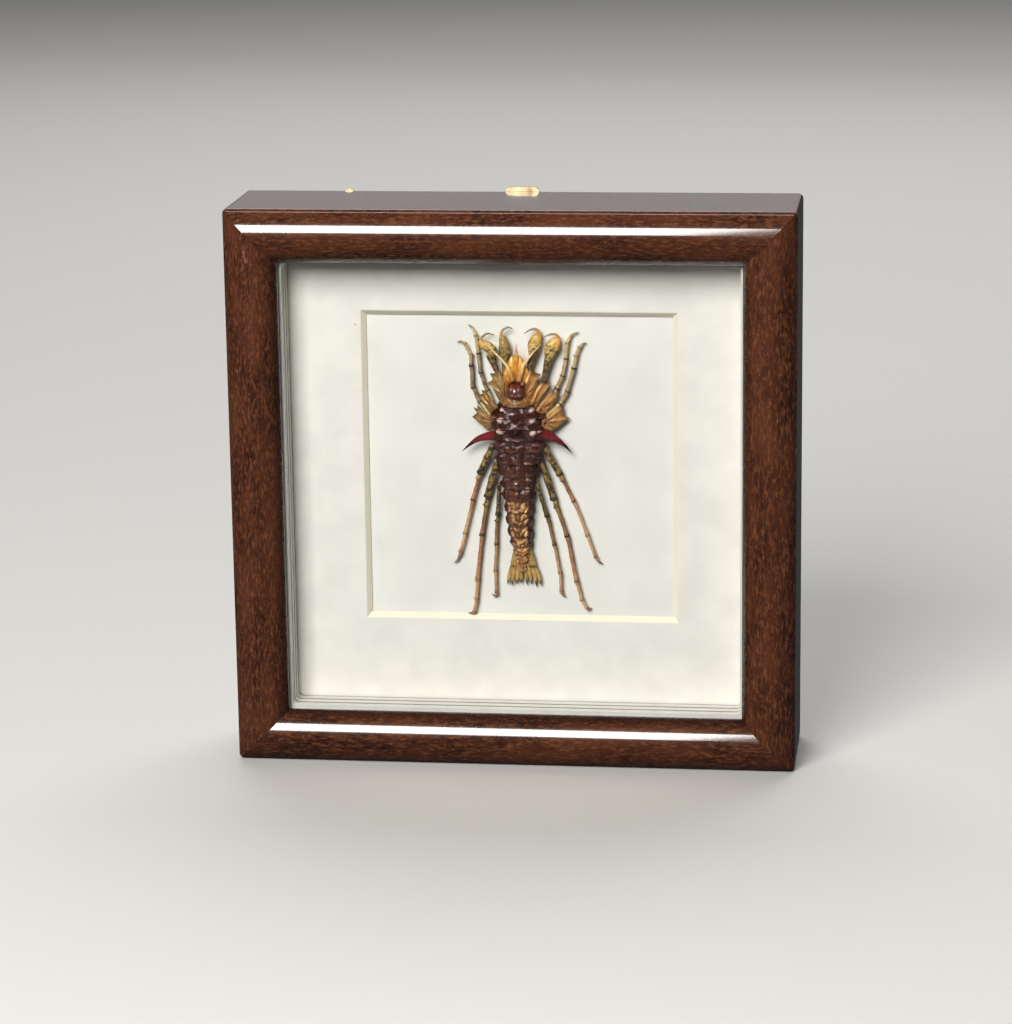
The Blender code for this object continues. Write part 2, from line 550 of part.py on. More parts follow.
def main():
    remove_everything()
    wood = material("stained_wood", (0.10, 0.035, 0.018), 0.35)
    clear = material("clear_glazing", (0.95, 0.97, 0.96), 0.05, alpha=0.2)
    white = material("white_board", (0.83, 0.81, 0.76), 0.8)
    paper = material("backing_paper", (0.80, 0.80, 0.77), 0.9)
    card = material("brown_card", (0.38, 0.27, 0.17), 0.9)
    hardboard = material("hardboard", (0.16, 0.09, 0.05), 0.8)
    brass = material("brass", (0.85, 0.62, 0.25), 0.3, metallic=1.0)
    shell = material("dried_shell", (0.24, 0.08, 0.04), 0.4)

    rails = {}
    for turns, side in enumerate(("top", "right", "bottom", "left")):
        rails[side] = add_rail("frame_rail_" + side, turns, wood)

    add_board("glass_pane", GLASS_Y, GLASS_THICK, clear)
    for k, place in enumerate(("front", "middle", "back")):
        add_board("spacer_board_" + place, SPACER_Y + k * (SPACER_THICK + GAP), SPACER_THICK, white,
                  window=SPACER_OPENING, corner=SPACER_CORNER)
    add_board("mat_board", MAT_Y, MAT_THICK, white, window=MAT_WINDOW, bevel=MAT_BEVEL, middle=MAT_SHIFT)
    add_board("backing_board", BACKING_Y, BACKING_THICK, paper)
    add_board("filler_board", FILLER_Y, PANEL_Y - GAP - FILLER_Y, card)
    add_board("back_panel", PANEL_Y, PANEL_THICK, hardboard)
    add_amphipod(shell)

    rail_middle = HALF - (RAIL_WIDTH - LIP_WIDTH) / 2
    clips = (("top_left", -46.8, 0.5, 1), ("top_right", 44.0, -1.4, 1), ("bottom_left", -45.0, -1.2, -1),
             ("bottom_right", 46.0, -1.6, -1))
    for place, x, rise, down in clips:
        clip = add_clip("panel_clip_" + place, x, rise, down, brass)
        z = down * rail_middle
        hole_through(clip, x, z, SCREW_SHAFT + GAP, DEPTH - 2, DEPTH + 3, brass)
        add_screw("clip_screw_" + place, x, z, rails["top" if down > 0 else "bottom"], brass)

    tab = add_hanging_tab(brass)
    for side, x in (("left", -2.6), ("right", 2.6)):
        z = HALF - 8.4
        hole_through(tab, x, z, SCREW_SHAFT + GAP, DEPTH - 2, DEPTH + 3, brass)
        add_screw("tab_screw_" + side, x, z, rails["top"], brass)


if __name__ == "__main__":
    main()
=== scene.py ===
"""Framed amphipod specimen: the packed frame dressed with its stained moulding, cut boards, paper and the
dried animal, laid out as an add-on with one operator for each group of pieces.

Points of the animal are (x, z, height) in millimetres from the middle of the frame and off the backing
board. Everything else is in metres, in the frame's own coordinates.
"""

import math

import bmesh
import bpy
import numpy as np
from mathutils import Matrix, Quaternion, Vector


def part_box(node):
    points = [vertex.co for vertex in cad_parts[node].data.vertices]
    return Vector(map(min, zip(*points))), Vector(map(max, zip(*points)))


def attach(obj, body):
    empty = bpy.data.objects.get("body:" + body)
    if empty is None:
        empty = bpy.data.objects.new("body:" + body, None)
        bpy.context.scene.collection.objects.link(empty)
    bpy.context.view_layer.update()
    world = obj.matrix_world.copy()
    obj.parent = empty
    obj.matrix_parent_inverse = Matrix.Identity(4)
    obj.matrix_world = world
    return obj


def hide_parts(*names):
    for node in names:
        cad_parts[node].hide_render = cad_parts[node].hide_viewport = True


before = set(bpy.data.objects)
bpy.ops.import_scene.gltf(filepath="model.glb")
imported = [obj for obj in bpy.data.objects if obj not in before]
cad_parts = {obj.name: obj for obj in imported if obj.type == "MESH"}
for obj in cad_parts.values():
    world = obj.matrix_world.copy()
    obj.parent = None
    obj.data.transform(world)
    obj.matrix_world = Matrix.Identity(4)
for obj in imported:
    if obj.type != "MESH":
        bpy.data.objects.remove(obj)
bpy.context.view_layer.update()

bl_info = {
    "name": "Framed amphipod specimen",
    "version": (1, 0, 0),
    "blender": (4, 5, 0),
    "location": "3D View > Sidebar > Specimen",
    "description": "Builds a dried amphipod in its stained shadow box",
    "category": "Object",
}

MM = 0.001
RAIL_LOW, RAIL_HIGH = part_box("frame_rail_top")
MAT_LOW, MAT_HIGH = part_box("mat_board")
HALF = RAIL_HIGH[2] / 2
CENTRE_Z = HALF
BOARD_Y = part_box("backing_board")[0][1]
BACK_Y = RAIL_HIGH[1]
RAIL_WIDTH = RAIL_HIGH[2] - RAIL_LOW[2]

# The moulding's section, as in the solids
SIGHT_DROP = 0.3 * MM
LIP_BACK = 1.0 * MM
LIP_WIDTH = 3.0 * MM
ARRIS = 0.5 * MM
MOULDING_DEPTH = 32.1 * MM
FRONT_ARRIS_Y = BACK_Y - MOULDING_DEPTH
MITRE_GAP = 0.05 * MM

# The mat's window, as in the solids, then how its cut edge and its corners are rounded
WINDOW = 84.1 * MM
WINDOW_SHIFT = (1.1 * MM, 4.2 * MM)
MAT_BEVEL = 1.25 * MM
SOFT_EDGE = 0.06 * MM
BOARD_CORNER = 1.2 * MM
WINDOW_CORNER = 0.2 * MM
BEVEL_CORNER = 0.15 * MM

# A small brown fleck on the mat, as (x, z) in millimetres
FLECK = (-42.4, 42.4)

# Scuffs beside the top left mitre, as strokes between two points (x, z) in millimetres
SCUFFS = (((-69.6, 59.2), (-69.0, 60.8)), ((-69.0, 60.8), (-68.3, 61.5)), ((-68.3, 61.6), (-69.2, 65.0)))
SCUFF_WIDTH = 0.36

# Rows of points along each rail and round each half of its corners
RAIL_STEPS = 400
CORNER_STEPS = 8
# How far each rail's grain lies from that of the rail before it, along and into the wood, in millimetres
GRAIN_STEP = (400, 7.3)

# Stations of the trunk, front to back: z, middle x, half width, height of the back
TRUNK = (
    (25.2, 0.4, 1.4, 2.6), (24.6, 0.4, 2.5, 3.6), (23.6, 0.35, 3.3, 4.4), (22.4, 0.4, 4.2, 5.0),
    (21.0, 0.5, 5.2, 5.6), (19.0, 0.8, 6.5, 6.4), (17.0, 0.9, 7.1, 7.0),
    (15.0, 1.0, 7.1, 7.4), (13.0, 1.1, 7.0, 7.5), (10.6, 1.2, 6.8, 7.3), (8.4, 1.0, 6.3, 7.2),
    (6.0, 0.8, 5.8, 7.0), (3.6, 0.7, 4.9, 6.8), (0.8, 0.7, 4.4, 6.5), (-2.0, 0.7, 4.2, 6.2),
    (-5.0, 0.7, 3.95, 5.9), (-9.0, 0.7, 3.6, 5.4), (-12.0, 0.8, 3.35, 5.0), (-15.0, 1.0, 3.05, 4.5),
    (-18.0, 1.25, 2.55, 3.9), (-20.5, 1.4, 1.95, 3.2), (-23.0, 1.4, 1.5, 2.6), (-25.2, 1.3, 0.9, 2.1),
)
# Where one ring of the trunk ends and the next begins, as z
SEGMENT_EDGES = (25.2, 20.6, 17.8, 15.0, 12.0, 8.8, 5.4, 2.0, -1.4, -4.6, -8.0, -11.4, -14.8, -17.6, -20.0,
                 -22.4, -25.2)
# The trunk's middle line, as x
MIDLINE = 0.7
# Height of the widest place as a share of the back's height, and height of the underside
TRUNK_WAIST = 0.38
BELLY = 0.35
# Points along and round the trunk
TRUNK_ROWS = 620
TRUNK_SIDES = 200
# Shifts (x, z) that line the trunk and the limbs up with the photo
TRUNK_OFFSET = (0.15, 0.3)
LIMB_OFFSET = (-0.2, -0.35)

# Walking legs: joints (x, z), the radius of each article, and the claw's last points
LEGS = {
    "left_3": (((-4.8, 20.5), (-7.2, 25.3), (-8.9, 30.2), (-9.4, 35.5), (-10.1, 40.2)),
               (0.75, 0.66, 0.62, 0.56), ((-10.9, 41.9), (-12.2, 42.9))),
    "left_4": (((-6.0, 18.3), (-9.3, 22.3), (-11.0, 26.2), (-11.4, 32.2), (-11.5, 35.2), (-12.9, 37.8)),
               (0.75, 0.70, 0.70, 0.60, 0.50), ((-14.0, 38.4), (-15.3, 38.1))),
    "left_5": (((-5.6, 11.0), (-9.4, 2.6), (-9.9, 1.3), (-11.6, -4.8), (-13.8, -14.2), (-15.1, -19.0)),
               (1.00, 0.76, 0.62, 0.58, 0.52), ((-15.9, -21.2), (-17.0, -22.3))),
    "left_6": (((-4.8, 6.0), (-7.5, -3.9), (-7.9, -6.0), (-9.2, -14.5), (-10.6, -27.0), (-11.0, -32.0),
                (-11.7, -35.6)), (1.05, 0.86, 0.72, 0.66, 0.60, 0.54), ((-12.3, -36.1), (-13.4, -36.0))),
    "left_7": (((-4.2, 0.5), (-4.8, -8.8), (-5.1, -10.4), (-5.3, -16.9), (-5.7, -24.3), (-5.5, -30.2)),
               (0.74, 0.62, 0.58, 0.54, 0.50), ((-6.0, -31.1), (-7.0, -30.5))),
    "right_3": (((7.5, 21.0), (11.4, 26.2), (12.9, 29.6), (13.8, 34.2), (14.2, 38.4)),
                (0.78, 0.70, 0.66, 0.60), ((15.3, 40.3), (17.4, 41.2))),
    "right_4": (((8.5, 18.6), (12.2, 22.0), (14.1, 25.4), (15.9, 31.8), (16.5, 35.0), (17.4, 37.2)),
                (0.78, 0.72, 0.66, 0.58, 0.50), ((18.3, 38.0), (19.4, 38.3))),
    "right_5": (((7.8, 11.0), (12.1, 2.6), (12.8, 1.2), (15.7, -4.7), (19.3, -14.2), (21.4, -19.9)),
                (0.96, 0.72, 0.60, 0.56, 0.50), ((22.2, -21.2), (23.3, -21.7))),
    "right_6": (((7.2, 6.2), (10.4, -4.2), (11.0, -6.2), (13.8, -14.4), (16.3, -27.0), (17.6, -31.8),
                 (19.0, -34.0)), (0.98, 0.80, 0.68, 0.64, 0.58, 0.50), ((19.5, -34.3), (20.2, -34.0))),
    "right_7": (((5.6, 1.5), (8.5, -9.0), (8.9, -10.3), (10.3, -16.8), (11.8, -24.5), (12.0, -29.6)),
                (0.68, 0.60, 0.56, 0.52, 0.48), ((12.4, -30.6), (13.3, -31.0))),
}
LEG_OLIVE = {"6": 0.35, "7": 0.9}
LEG_SIDES = 18
LEG_ROOT_HEIGHT = 3.2
LEG_HEIGHT = 1.5
CLAW_HEIGHT = 0.9

# Grasping limbs: arm, swollen hand and hooked finger, as (x, z, radius) along each
HANDS = {
    "left_inner": (((-2.2, 29.5, 0.8), (-2.4, 33.6, 0.85)),
                   ((-2.4, 32.8, 0.8), (-2.3, 36.4, 1.6), (-3.0, 40.4, 0.8)),
                   ((-3.3, 40.0, 0.45), (-2.8, 41.7, 0.36), (-1.5, 42.5, 0.25), (-0.2, 42.2, 0.08))),
    "left_outer": (((-3.8, 29.5, 0.75), (-5.2, 32.4, 0.85), (-6.3, 35.4, 1.25)),
                   ((-4.4, 35.3, 0.8), (-6.6, 37.1, 1.5), (-9.3, 38.5, 0.8)),
                   ((-8.9, 38.3, 0.45), (-8.2, 39.9, 0.36), (-6.8, 40.8, 0.25), (-4.9, 40.4, 0.08))),
    "right_inner": (((3.6, 30.0, 0.8), (4.6, 33.2, 0.85), (5.7, 36.0, 0.9)),
                    ((4.9, 34.6, 0.8), (5.6, 38.0, 1.75), (6.9, 41.2, 0.85)),
                    ((7.2, 40.6, 0.48), (6.3, 42.0, 0.38), (4.6, 41.9, 0.27), (2.8, 40.8, 0.08))),
    "right_outer": (((7.8, 27.5, 0.8), (8.6, 31.2, 0.85), (9.4, 34.4, 1.25)),
                    ((9.1, 33.9, 0.8), (10.3, 37.2, 2.0), (12.1, 39.6, 0.9)),
                    ((12.3, 39.2, 0.48), (11.5, 40.6, 0.38), (10.0, 40.8, 0.27), (8.2, 40.0, 0.08))),
}
HAND_HEIGHT = 2.3
# Arm, hand and finger: flatness, ridge, how long the ends are, where the value station starts and how far it
# runs, and how much painted shade darkens the flanks; then how olive arm and hand are
HAND_PARTS = ((0.85, 0.0, 0.03, 0.0, 0.40, 0.9), (0.6, 0.3, 0.10, 0.42, 0.38, 0.8),
              (0.9, 0.0, 0.03, 0.80, 0.2, 0.3))
HAND_OLIVE = {"left_inner": 0.75, "left_outer": 0.15, "right_inner": 0.15, "right_outer": 0.0}

# Toothed side plates as outlines (x, z); the first point is on the trunk
PLATES = {
    "left_1": ((-2.4, 24.5), (-2.6, 28.5), (-4.0, 31.2), (-4.9, 30.6), (-5.2, 29.9), (-6.6, 29.7),
               (-5.6, 28.9), (-6.0, 27.9), (-7.3, 27.1), (-6.1, 26.3), (-4.8, 23.6), (-3.2, 20.8),
               (-1.6, 21.6)),
    "left_3": ((-4.2, 20.8), (-7.6, 24.8), (-8.8, 25.3), (-8.6, 24.2), (-9.9, 23.7), (-9.2, 22.6),
               (-6.2, 19.0)),
    "left_4": ((-5.0, 18.2), (-8.6, 19.8), (-10.1, 21.2), (-10.0, 20.1), (-11.2, 20.4), (-10.2, 18.9),
               (-11.6, 17.8), (-10.2, 16.9), (-8.6, 15.6), (-7.4, 14.4), (-5.0, 14.8)),
    "right_1": ((2.6, 25.0), (2.9, 29.5), (4.4, 31.3), (5.5, 30.1), (7.1, 29.7), (6.0, 28.5), (6.2, 26.8),
                (5.2, 24.6), (3.8, 20.8), (2.0, 21.6)),
    "right_2": ((3.6, 21.0), (6.2, 26.6), (8.0, 28.7), (8.6, 27.6), (9.8, 27.3), (8.8, 26.2), (7.2, 23.0),
                (5.4, 19.6)),
    "right_3": ((5.6, 20.2), (8.4, 23.9), (10.6, 26.0), (10.9, 24.9), (11.9, 24.3), (11.2, 22.8),
                (9.4, 20.0), (7.0, 18.4)),
    "right_4": ((7.0, 17.8), (11.0, 20.5), (13.1, 21.0), (12.9, 19.4), (13.3, 18.2), (14.7, 17.8),
                (13.3, 16.7), (11.2, 15.2), (9.6, 14.3), (7.0, 15.0)),
}
PLATE_ROWS = 20
PLATE_THICK = 0.4
PLATE_SLOPE = 0.3
PLATE_ROOT_HEIGHT = 3.9

# Left and right horn as (x, z, height, radius)
HORNS = (
    ((-4.0, 13.1, 4.6, 1.45), (-6.6, 12.9, 3.9, 1.2), (-9.9, 11.9, 3.4, 0.78), (-12.2, 10.3, 3.0, 0.4),
     (-14.4, 8.3, 2.8, 0.04)),
    ((6.0, 13.6, 4.6, 1.5), (8.4, 13.3, 3.9, 1.25), (11.2, 11.9, 3.4, 0.8), (13.2, 10.2, 3.0, 0.4),
     (15.2, 8.1, 2.8, 0.04)),
)

# Beak, leaves of the mouth and antennae as (x, z, height, radius), then how pale each is, or how dark where
# that is below 0, and how pink its tip is
MOUTH = (
    (((0.5, 28.0, 3.4, 0.6), (0.5, 31.5, 3.8, 0.8), (0.6, 34.3, 4.0, 0.62), (0.65, 36.0, 3.9, 0.3),
      (0.55, 38.0, 3.8, 0.04)), 0.0, 1.0),
    (((-0.4, 27.4, 3.2, 1.0), (-0.8, 30.6, 3.6, 1.15), (-0.7, 33.0, 3.5, 0.9),
      (-0.6, 34.6, 3.4, 0.04)), 0.0, 0.0),
    (((1.4, 27.4, 3.2, 1.0), (1.8, 30.6, 3.6, 1.15), (1.6, 33.0, 3.5, 0.9),
      (1.4, 34.6, 3.4, 0.04)), 0.0, 0.0),
    (((-1.3, 27.0, 3.0, 1.0), (-1.9, 29.8, 3.2, 1.0), (-1.7, 32.0, 3.1, 0.04)), 0.0, 0.0),
    (((2.4, 27.0, 3.0, 1.0), (2.9, 29.8, 3.2, 1.0), (2.8, 31.8, 3.1, 0.04)), 0.0, 0.0),
    (((-2.3, 23.8, 3.0, 0.9), (-2.7, 27.6, 2.9, 1.0), (-2.6, 30.6, 2.8, 0.04)), -0.6, 0.0),
    (((3.0, 23.8, 3.0, 0.9), (3.4, 27.6, 2.9, 1.0), (3.3, 30.0, 2.8, 0.04)), -0.4, 0.0),
    (((-0.35, 27.8, 4.2, 0.6), (-1.1, 30.2, 4.7, 0.66), (-2.1, 32.2, 4.4, 0.46), (-5.2, 35.4, 3.9, 0.24),
      (-9.0, 38.6, 3.6, 0.1)), 1.0, 0.0),
    (((1.25, 27.8, 4.2, 0.6), (1.95, 30.3, 4.7, 0.66), (2.7, 32.4, 4.4, 0.44), (4.8, 35.1, 3.9, 0.22),
      (7.2, 37.7, 3.6, 0.1)), 1.0, 0.0),
)

# The globe of the head and the eyes as (x, z, height), and painted glints on the globe as (x, z, reach)
HEAD = (0.35, 24.85, 4.1)
HEAD_RADII = (2.55, 2.3, 2.5)
EYES = ((-1.75, 27.2, 5.0), (2.4, 27.3, 5.0))
EYE_RADIUS = 0.66
GLINTS = ((-0.7, 25.9, 0.26), (1.25, 25.9, 0.24), (-0.35, 24.35, 0.24), (0.5, 24.1, 0.18), (1.35, 24.4, 0.24))

# Knobs of the front body as (x, z, height, reach), then the hollow across the back as (x, z, half width,
# half length)
KNOBS = (
    (-2.9, 20.4, 1.1, 0.95), (4.2, 20.4, 1.1, 0.95), (0.7, 19.8, 0.6, 0.55),
    (-3.4, 17.6, 1.6, 1.05), (4.7, 17.6, 1.6, 1.05), (0.7, 17.9, 1.6, 0.7), (-5.3, 18.1, 1.0, 1.0),
    (7.1, 18.1, 1.1, 1.0), (-1.3, 16.3, 0.7, 0.6), (1.6, 16.3, 0.7, 0.6),
    (-3.4, 14.6, 1.6, 1.05), (4.8, 14.4, 1.6, 1.05), (0.7, 14.6, 1.2, 0.6), (-5.1, 14.8, 0.9, 0.9),
    (6.5, 14.6, 1.0, 0.9),
    (-3.7, 10.9, 1.3, 1.0), (5.8, 11.0, 1.3, 1.0), (-0.5, 9.9, 0.8, 0.7), (1.9, 9.8, 0.8, 0.7),
    (0.7, 11.6, 0.7, 0.6), (-3.5, 7.8, 1.0, 0.9), (5.1, 7.8, 1.0, 0.9), (-0.6, 7.0, 0.6, 0.6),
    (1.9, 7.0, 0.6, 0.6), (-2.7, 4.6, 0.9, 0.8), (4.3, 4.6, 0.9, 0.8), (-1.1, 5.5, 0.6, 0.6),
    (2.0, 5.6, 0.6, 0.6), (-2.3, 1.2, 0.8, 0.8), (3.8, 1.2, 0.8, 0.8), (-0.5, 1.9, 0.5, 0.6),
    (2.1, 1.7, 0.5, 0.6), (-2.1, -1.8, 0.7, 0.7), (3.5, -1.8, 0.7, 0.7), (0.7, -1.2, 0.5, 0.6),
)
HOLLOW = (MIDLINE, 13.9, 3.3, 1.3)

# The blades of the tail fan as the points (x, z) of their tips, and the place that they spread from
TAIL_TIPS = ((-2.9, -28.6), (-1.7, -29.0), (-0.4, -28.4), (0.8, -28.2), (2.4, -28.6), (3.6, -28.4),
             (5.0, -29.2), (6.3, -28.7))
TAIL_ROOT = (1.25, -17.6)
TAIL_ROOT_SPREAD = 0.40
TAIL_JOINT_Z = -22.9

# Finishes of the limbs: colours along the value station, then how far along it dark spots reach, how strong
# they are and how much of the shell they cover
LIMB_FINISHES = {
    "hind_leg_shell": (
        ((0.0, (160, 134, 74)), (0.28, "olive"), (0.38, (150, 98, 70)), (0.54, (204, 146, 108)),
         (0.64, (226, 184, 140)), (0.80, (228, 186, 142)), (0.90, (216, 160, 128)), (0.98, (134, 116, 104))),
        0.38, 1.0, 0.1),
    "fore_leg_shell": (
        ((0.0, (196, 166, 108)), (0.25, (168, 146, 104)), (0.5, (156, 140, 118)), (0.72, (208, 184, 136)),
         (0.88, (222, 196, 140)), (1.0, (148, 136, 120))),
        0.5, 0.6, 0.06),
    "hand_shell": (
        ((0.0, (110, 84, 56)), (0.30, (140, 118, 72)), (0.44, (198, 170, 98)), (0.56, (236, 206, 128)),
         (0.70, "amber"), (0.80, (234, 180, 98)), (0.88, (170, 146, 110)), (1.0, (112, 110, 98))),
        0.72, 0.85, 0.07),
    "plate_shell": (
        ((0.0, (120, 62, 34)), (0.3, (182, 116, 56)), (0.65, (208, 152, 80)), (1.0, (188, 140, 78))),
        0.7, 0.4, 0.06),
    "mouth_shell": (
        ((0.0, (180, 104, 36)), (0.3, (232, 160, 54)), (0.6, (240, 184, 82)), (1.0, (232, 184, 110))),
        0.1, 0.2, 0.06),
    "tail_shell": (
        ((0.0, (160, 132, 76)), (0.4, (204, 172, 100)), (0.75, (220, 184, 116)), (1.0, (78, 72, 48))),
        0.5, 0.45, 0.03),
}
# Values that the limb materials read; one of them darkens the flanks as painted shade
LIMB_VALUES = ("station", "dark", "flank", "pale", "olive", "pink")

# Lamps: azimuth and elevation in degrees, distance and size in metres, power as a share of the key light's,
# and colour. The key lights the surfaces, and gloss only makes the highlights on them.
LAMPS = {
    "key": (-15.0, 33.0, 1.25, (0.58, 0.66), 1.0, (1.0, 0.985, 0.955)),
    "gloss": (-15.0, 22.0, 1.25, (0.58, 0.55), 0.9, (1.0, 0.985, 0.955)),
    "back": (170.0, 16.0, 1.5, (1.6, 0.45), 0.045, (0.95, 0.97, 1.0)),
    "wash": (180.0, 55.0, 1.9, (1.8, 1.2), 1.45, (1.0, 1.0, 1.0)),
}
SURROUND = (0.86, 0.89, 0.93, 1.0)
FLOOR_REACH = 3.0

# The camera, fitted to the corners of the frame and the mat: its place from the middle of the frame's
# front, the way it looks and its roll in degrees
CAMERA_PLACE = (0.11441, -0.90246, 0.21640)
CAMERA_AHEAD = (-0.12359, 0.96371, -0.23663)
CAMERA_ROLL = -0.7845


def srgb(red, green, blue):
    """A colour as it looks on screen, 0 to 255, as the linear colour that a shader takes."""
    screen = np.array((red, green, blue)) / 255
    linear = np.where(screen <= 0.04045, screen / 12.92, ((screen + 0.055) / 1.055) ** 2.4)
    return tuple(float(v) for v in linear)


def colour_property(name, description, shade):
    return bpy.props.FloatVectorProperty(
        name=name, description=description, subtype="COLOR", size=3, min=0.0, max=1.0, default=srgb(*shade))


def length_property(name, description, metres):
    return bpy.props.FloatProperty(
        name=name, description=description, subtype="DISTANCE", unit="LENGTH", min=0.0, default=metres)


class MouldingSettings(bpy.types.PropertyGroup):
    """The stained wooden moulding."""
    crown_rise: length_property("Crown", "How far the front bulges ahead of the outer edge", 3.7 * MM)
    corner: length_property("Corner", "Radius of the frame's outer corners", 1.3 * MM)
    stain: colour_property("Stain", "Main colour of the stained wood", (92, 50, 32))
    # Pores also colours the painted shade towards the sight edge
    deep: colour_property("Pores", "Colour of the darkest grain", (38, 17, 11))
    figure: colour_property("Figure", "Colour of the lightest grain", (166, 104, 66))
    gloss: bpy.props.FloatProperty(
        name="Roughness", description="Roughness of the satin lacquer", min=0.0, max=1.0, default=0.24)


class BoardSettings(bpy.types.PropertyGroup):
    """The cut boards, the papers and the back."""
    mat: colour_property("Mat", "Face of the mat", (244, 242, 234))
    core: colour_property("Core", "Cut edge of the mat", (240, 235, 214))
    spacer: colour_property("Spacers", "Face and edges of the spacer boards", (222, 221, 214))
    paper: colour_property("Paper", "Paper under the animal", (243, 243, 236))
    panel: colour_property("Panel", "Hardboard back", (104, 76, 52))


class ShellSettings(bpy.types.PropertyGroup):
    """Colours of the dried shell."""
    wine: colour_property("Wine", "Trunk", (60, 18, 13))
    crimson: colour_property("Crimson", "Horns", (120, 26, 30))
    gold: colour_property("Gold", "Scales of the hind body", (240, 194, 128))
    tan: colour_property("Tan", "Collar", (150, 107, 51))
    olive: colour_property("Olive", "Upper hind legs", (186, 160, 88))
    amber: colour_property("Amber", "Hands and mouth parts", (242, 196, 104))
    # Umber also darkens the limbs' flanks as painted shade
    umber: colour_property("Umber", "Spots, joints and flanks of the limbs", (52, 38, 28))


class StageSettings(bpy.types.PropertyGroup):
    """Floor, lights and camera."""
    floor: colour_property("Floor", "Pale studio floor", (214, 212, 208))
    key_watts: bpy.props.FloatProperty(name="Key light", description="Power", min=0.0, default=17.9)
    fill: bpy.props.FloatProperty(name="Fill", description="Strength of the surround", min=0.0, default=0.05)
    lens: bpy.props.FloatProperty(name="Lens", description="Focal length, mm", min=1.0, default=124.9)


def settings(name):
    return getattr(bpy.context.scene, "specimen_" + name)


# Shapes

def at(x, z, height, offset=(0.0, 0.0)):
    """Board millimetres to the frame's metres, for numbers or whole arrays."""
    x, z, height = np.broadcast_arrays(x, z, height)
    return np.stack([(x + offset[0]) * MM, BOARD_Y - height * MM, CENTRE_Z + (z + offset[1]) * MM], axis=-1)


def smoothstep(low, high, value):
    share = np.clip((value - low) / (high - low), 0.0, 1.0)
    return share * share * (3 - 2 * share)


def noise(points, size, seed):
    """Smooth random numbers from -1 to 1: values drawn on a cubic lattice of that size, blended between
    its corners by 3s^2 - 2s^3 along each axis."""
    lattice = np.random.default_rng(seed).uniform(-1, 1, (24, 24, 24))
    place = points / size
    cell = np.floor(place).astype(int)
    share = place - cell
    share = share * share * (3 - 2 * share)
    total = np.zeros(points.shape[:-1])
    for corner in np.ndindex(2, 2, 2):
        weight = np.prod(np.where(corner, share, 1 - share), axis=-1)
        i, j, k = np.moveaxis((cell + corner) % 24, -1, 0)
        total += weight * lattice[i, j, k]
    return total


def rounded_path(rows, steps):
    """A Catmull-Rom curve through the rows: each stretch is the cubic whose slope at a row is half the
    step between its two neighbours."""
    keys = np.array(rows, float)
    padded = np.vstack([keys[:1], keys, keys[-1:]])
    t = np.linspace(0, 1, steps, endpoint=False)[:, None]
    stretches = []
    for p0, p1, p2, p3 in zip(padded, padded[1:], padded[2:], padded[3:]):
        stretches.append(0.5 * (2 * p1 + (p2 - p0) * t + (2 * p0 - 5 * p1 + 4 * p2 - p3) * t ** 2
                                + (3 * p1 - p0 - 3 * p2 + p3) * t ** 3))
    return np.vstack(stretches + [keys[-1:]])


def turns(count):
    """Angles of a closed ring of that many points."""
    return 2 * np.pi * np.arange(count) / count


def flanks(sides, power):
    """1 on both sides of a tube and 0 on its ridge, as one row; a higher power narrows the sides."""
    return (np.abs(np.cos(turns(sides))) ** power)[None, :]


def roughened(place, depth, size, seed):
    """The points moved by noise of that depth and size, in millimetres, alike along each axis."""
    return place + depth * MM * noise(place / MM, size, seed)[..., None]


def tube(centres, radii, sides=14, flat=1.0, ridge=0.0):
    """A profile carried along a path: at each centre a ring of the given radius, squeezed to flat off the
    board and pinched by ridge towards its upper edge. The end rings have no radius, so the tube is closed."""
    along = np.gradient(centres, axis=0)
    along /= np.linalg.norm(along, axis=1, keepdims=True)
    side = np.cross(along, (0.0, 1.0, 0.0))
    side /= np.linalg.norm(side, axis=1, keepdims=True)
    lift = np.cross(side, along)
    angle = turns(sides)
    out = np.cos(angle) * (1 - ridge * np.clip(np.sin(angle), 0, 1) ** 2)
    up = np.sin(angle) * flat
    radius = np.array(radii)[:, None, None]
    return (centres[:, None, :] + radius * out[None, :, None] * side[:, None, :]
            + radius * up[None, :, None] * lift[:, None, :])


def closed_ends(share, reach):
    """A factor that falls to nothing at both ends as the square root, like the end of an egg."""
    return np.sqrt(np.clip(share * (1 - share) / reach, 0, 1))


def path_tube(path, radii, offset, sides, flat=1.0, ridge=0.0):
    """A tube along rows of (x, z, height), with its radii in millimetres."""
    return tube(at(path[:, 0], path[:, 1], path[:, 2], offset), radii * MM, sides, flat, ridge)


def ball(centre, radii, rings, sides):
    """An ellipsoid with its poles along z: x and height go with the sine of the polar angle."""
    polar = np.linspace(0, np.pi, rings)[:, None]
    turn = turns(sides)[None, :]
    return at(centre[0] + radii[0] * np.sin(polar) * np.cos(turn),
              centre[1] + radii[1] * np.cos(polar) * np.ones_like(turn),
              centre[2] + radii[2] * np.sin(polar) * np.sin(turn), TRUNK_OFFSET)


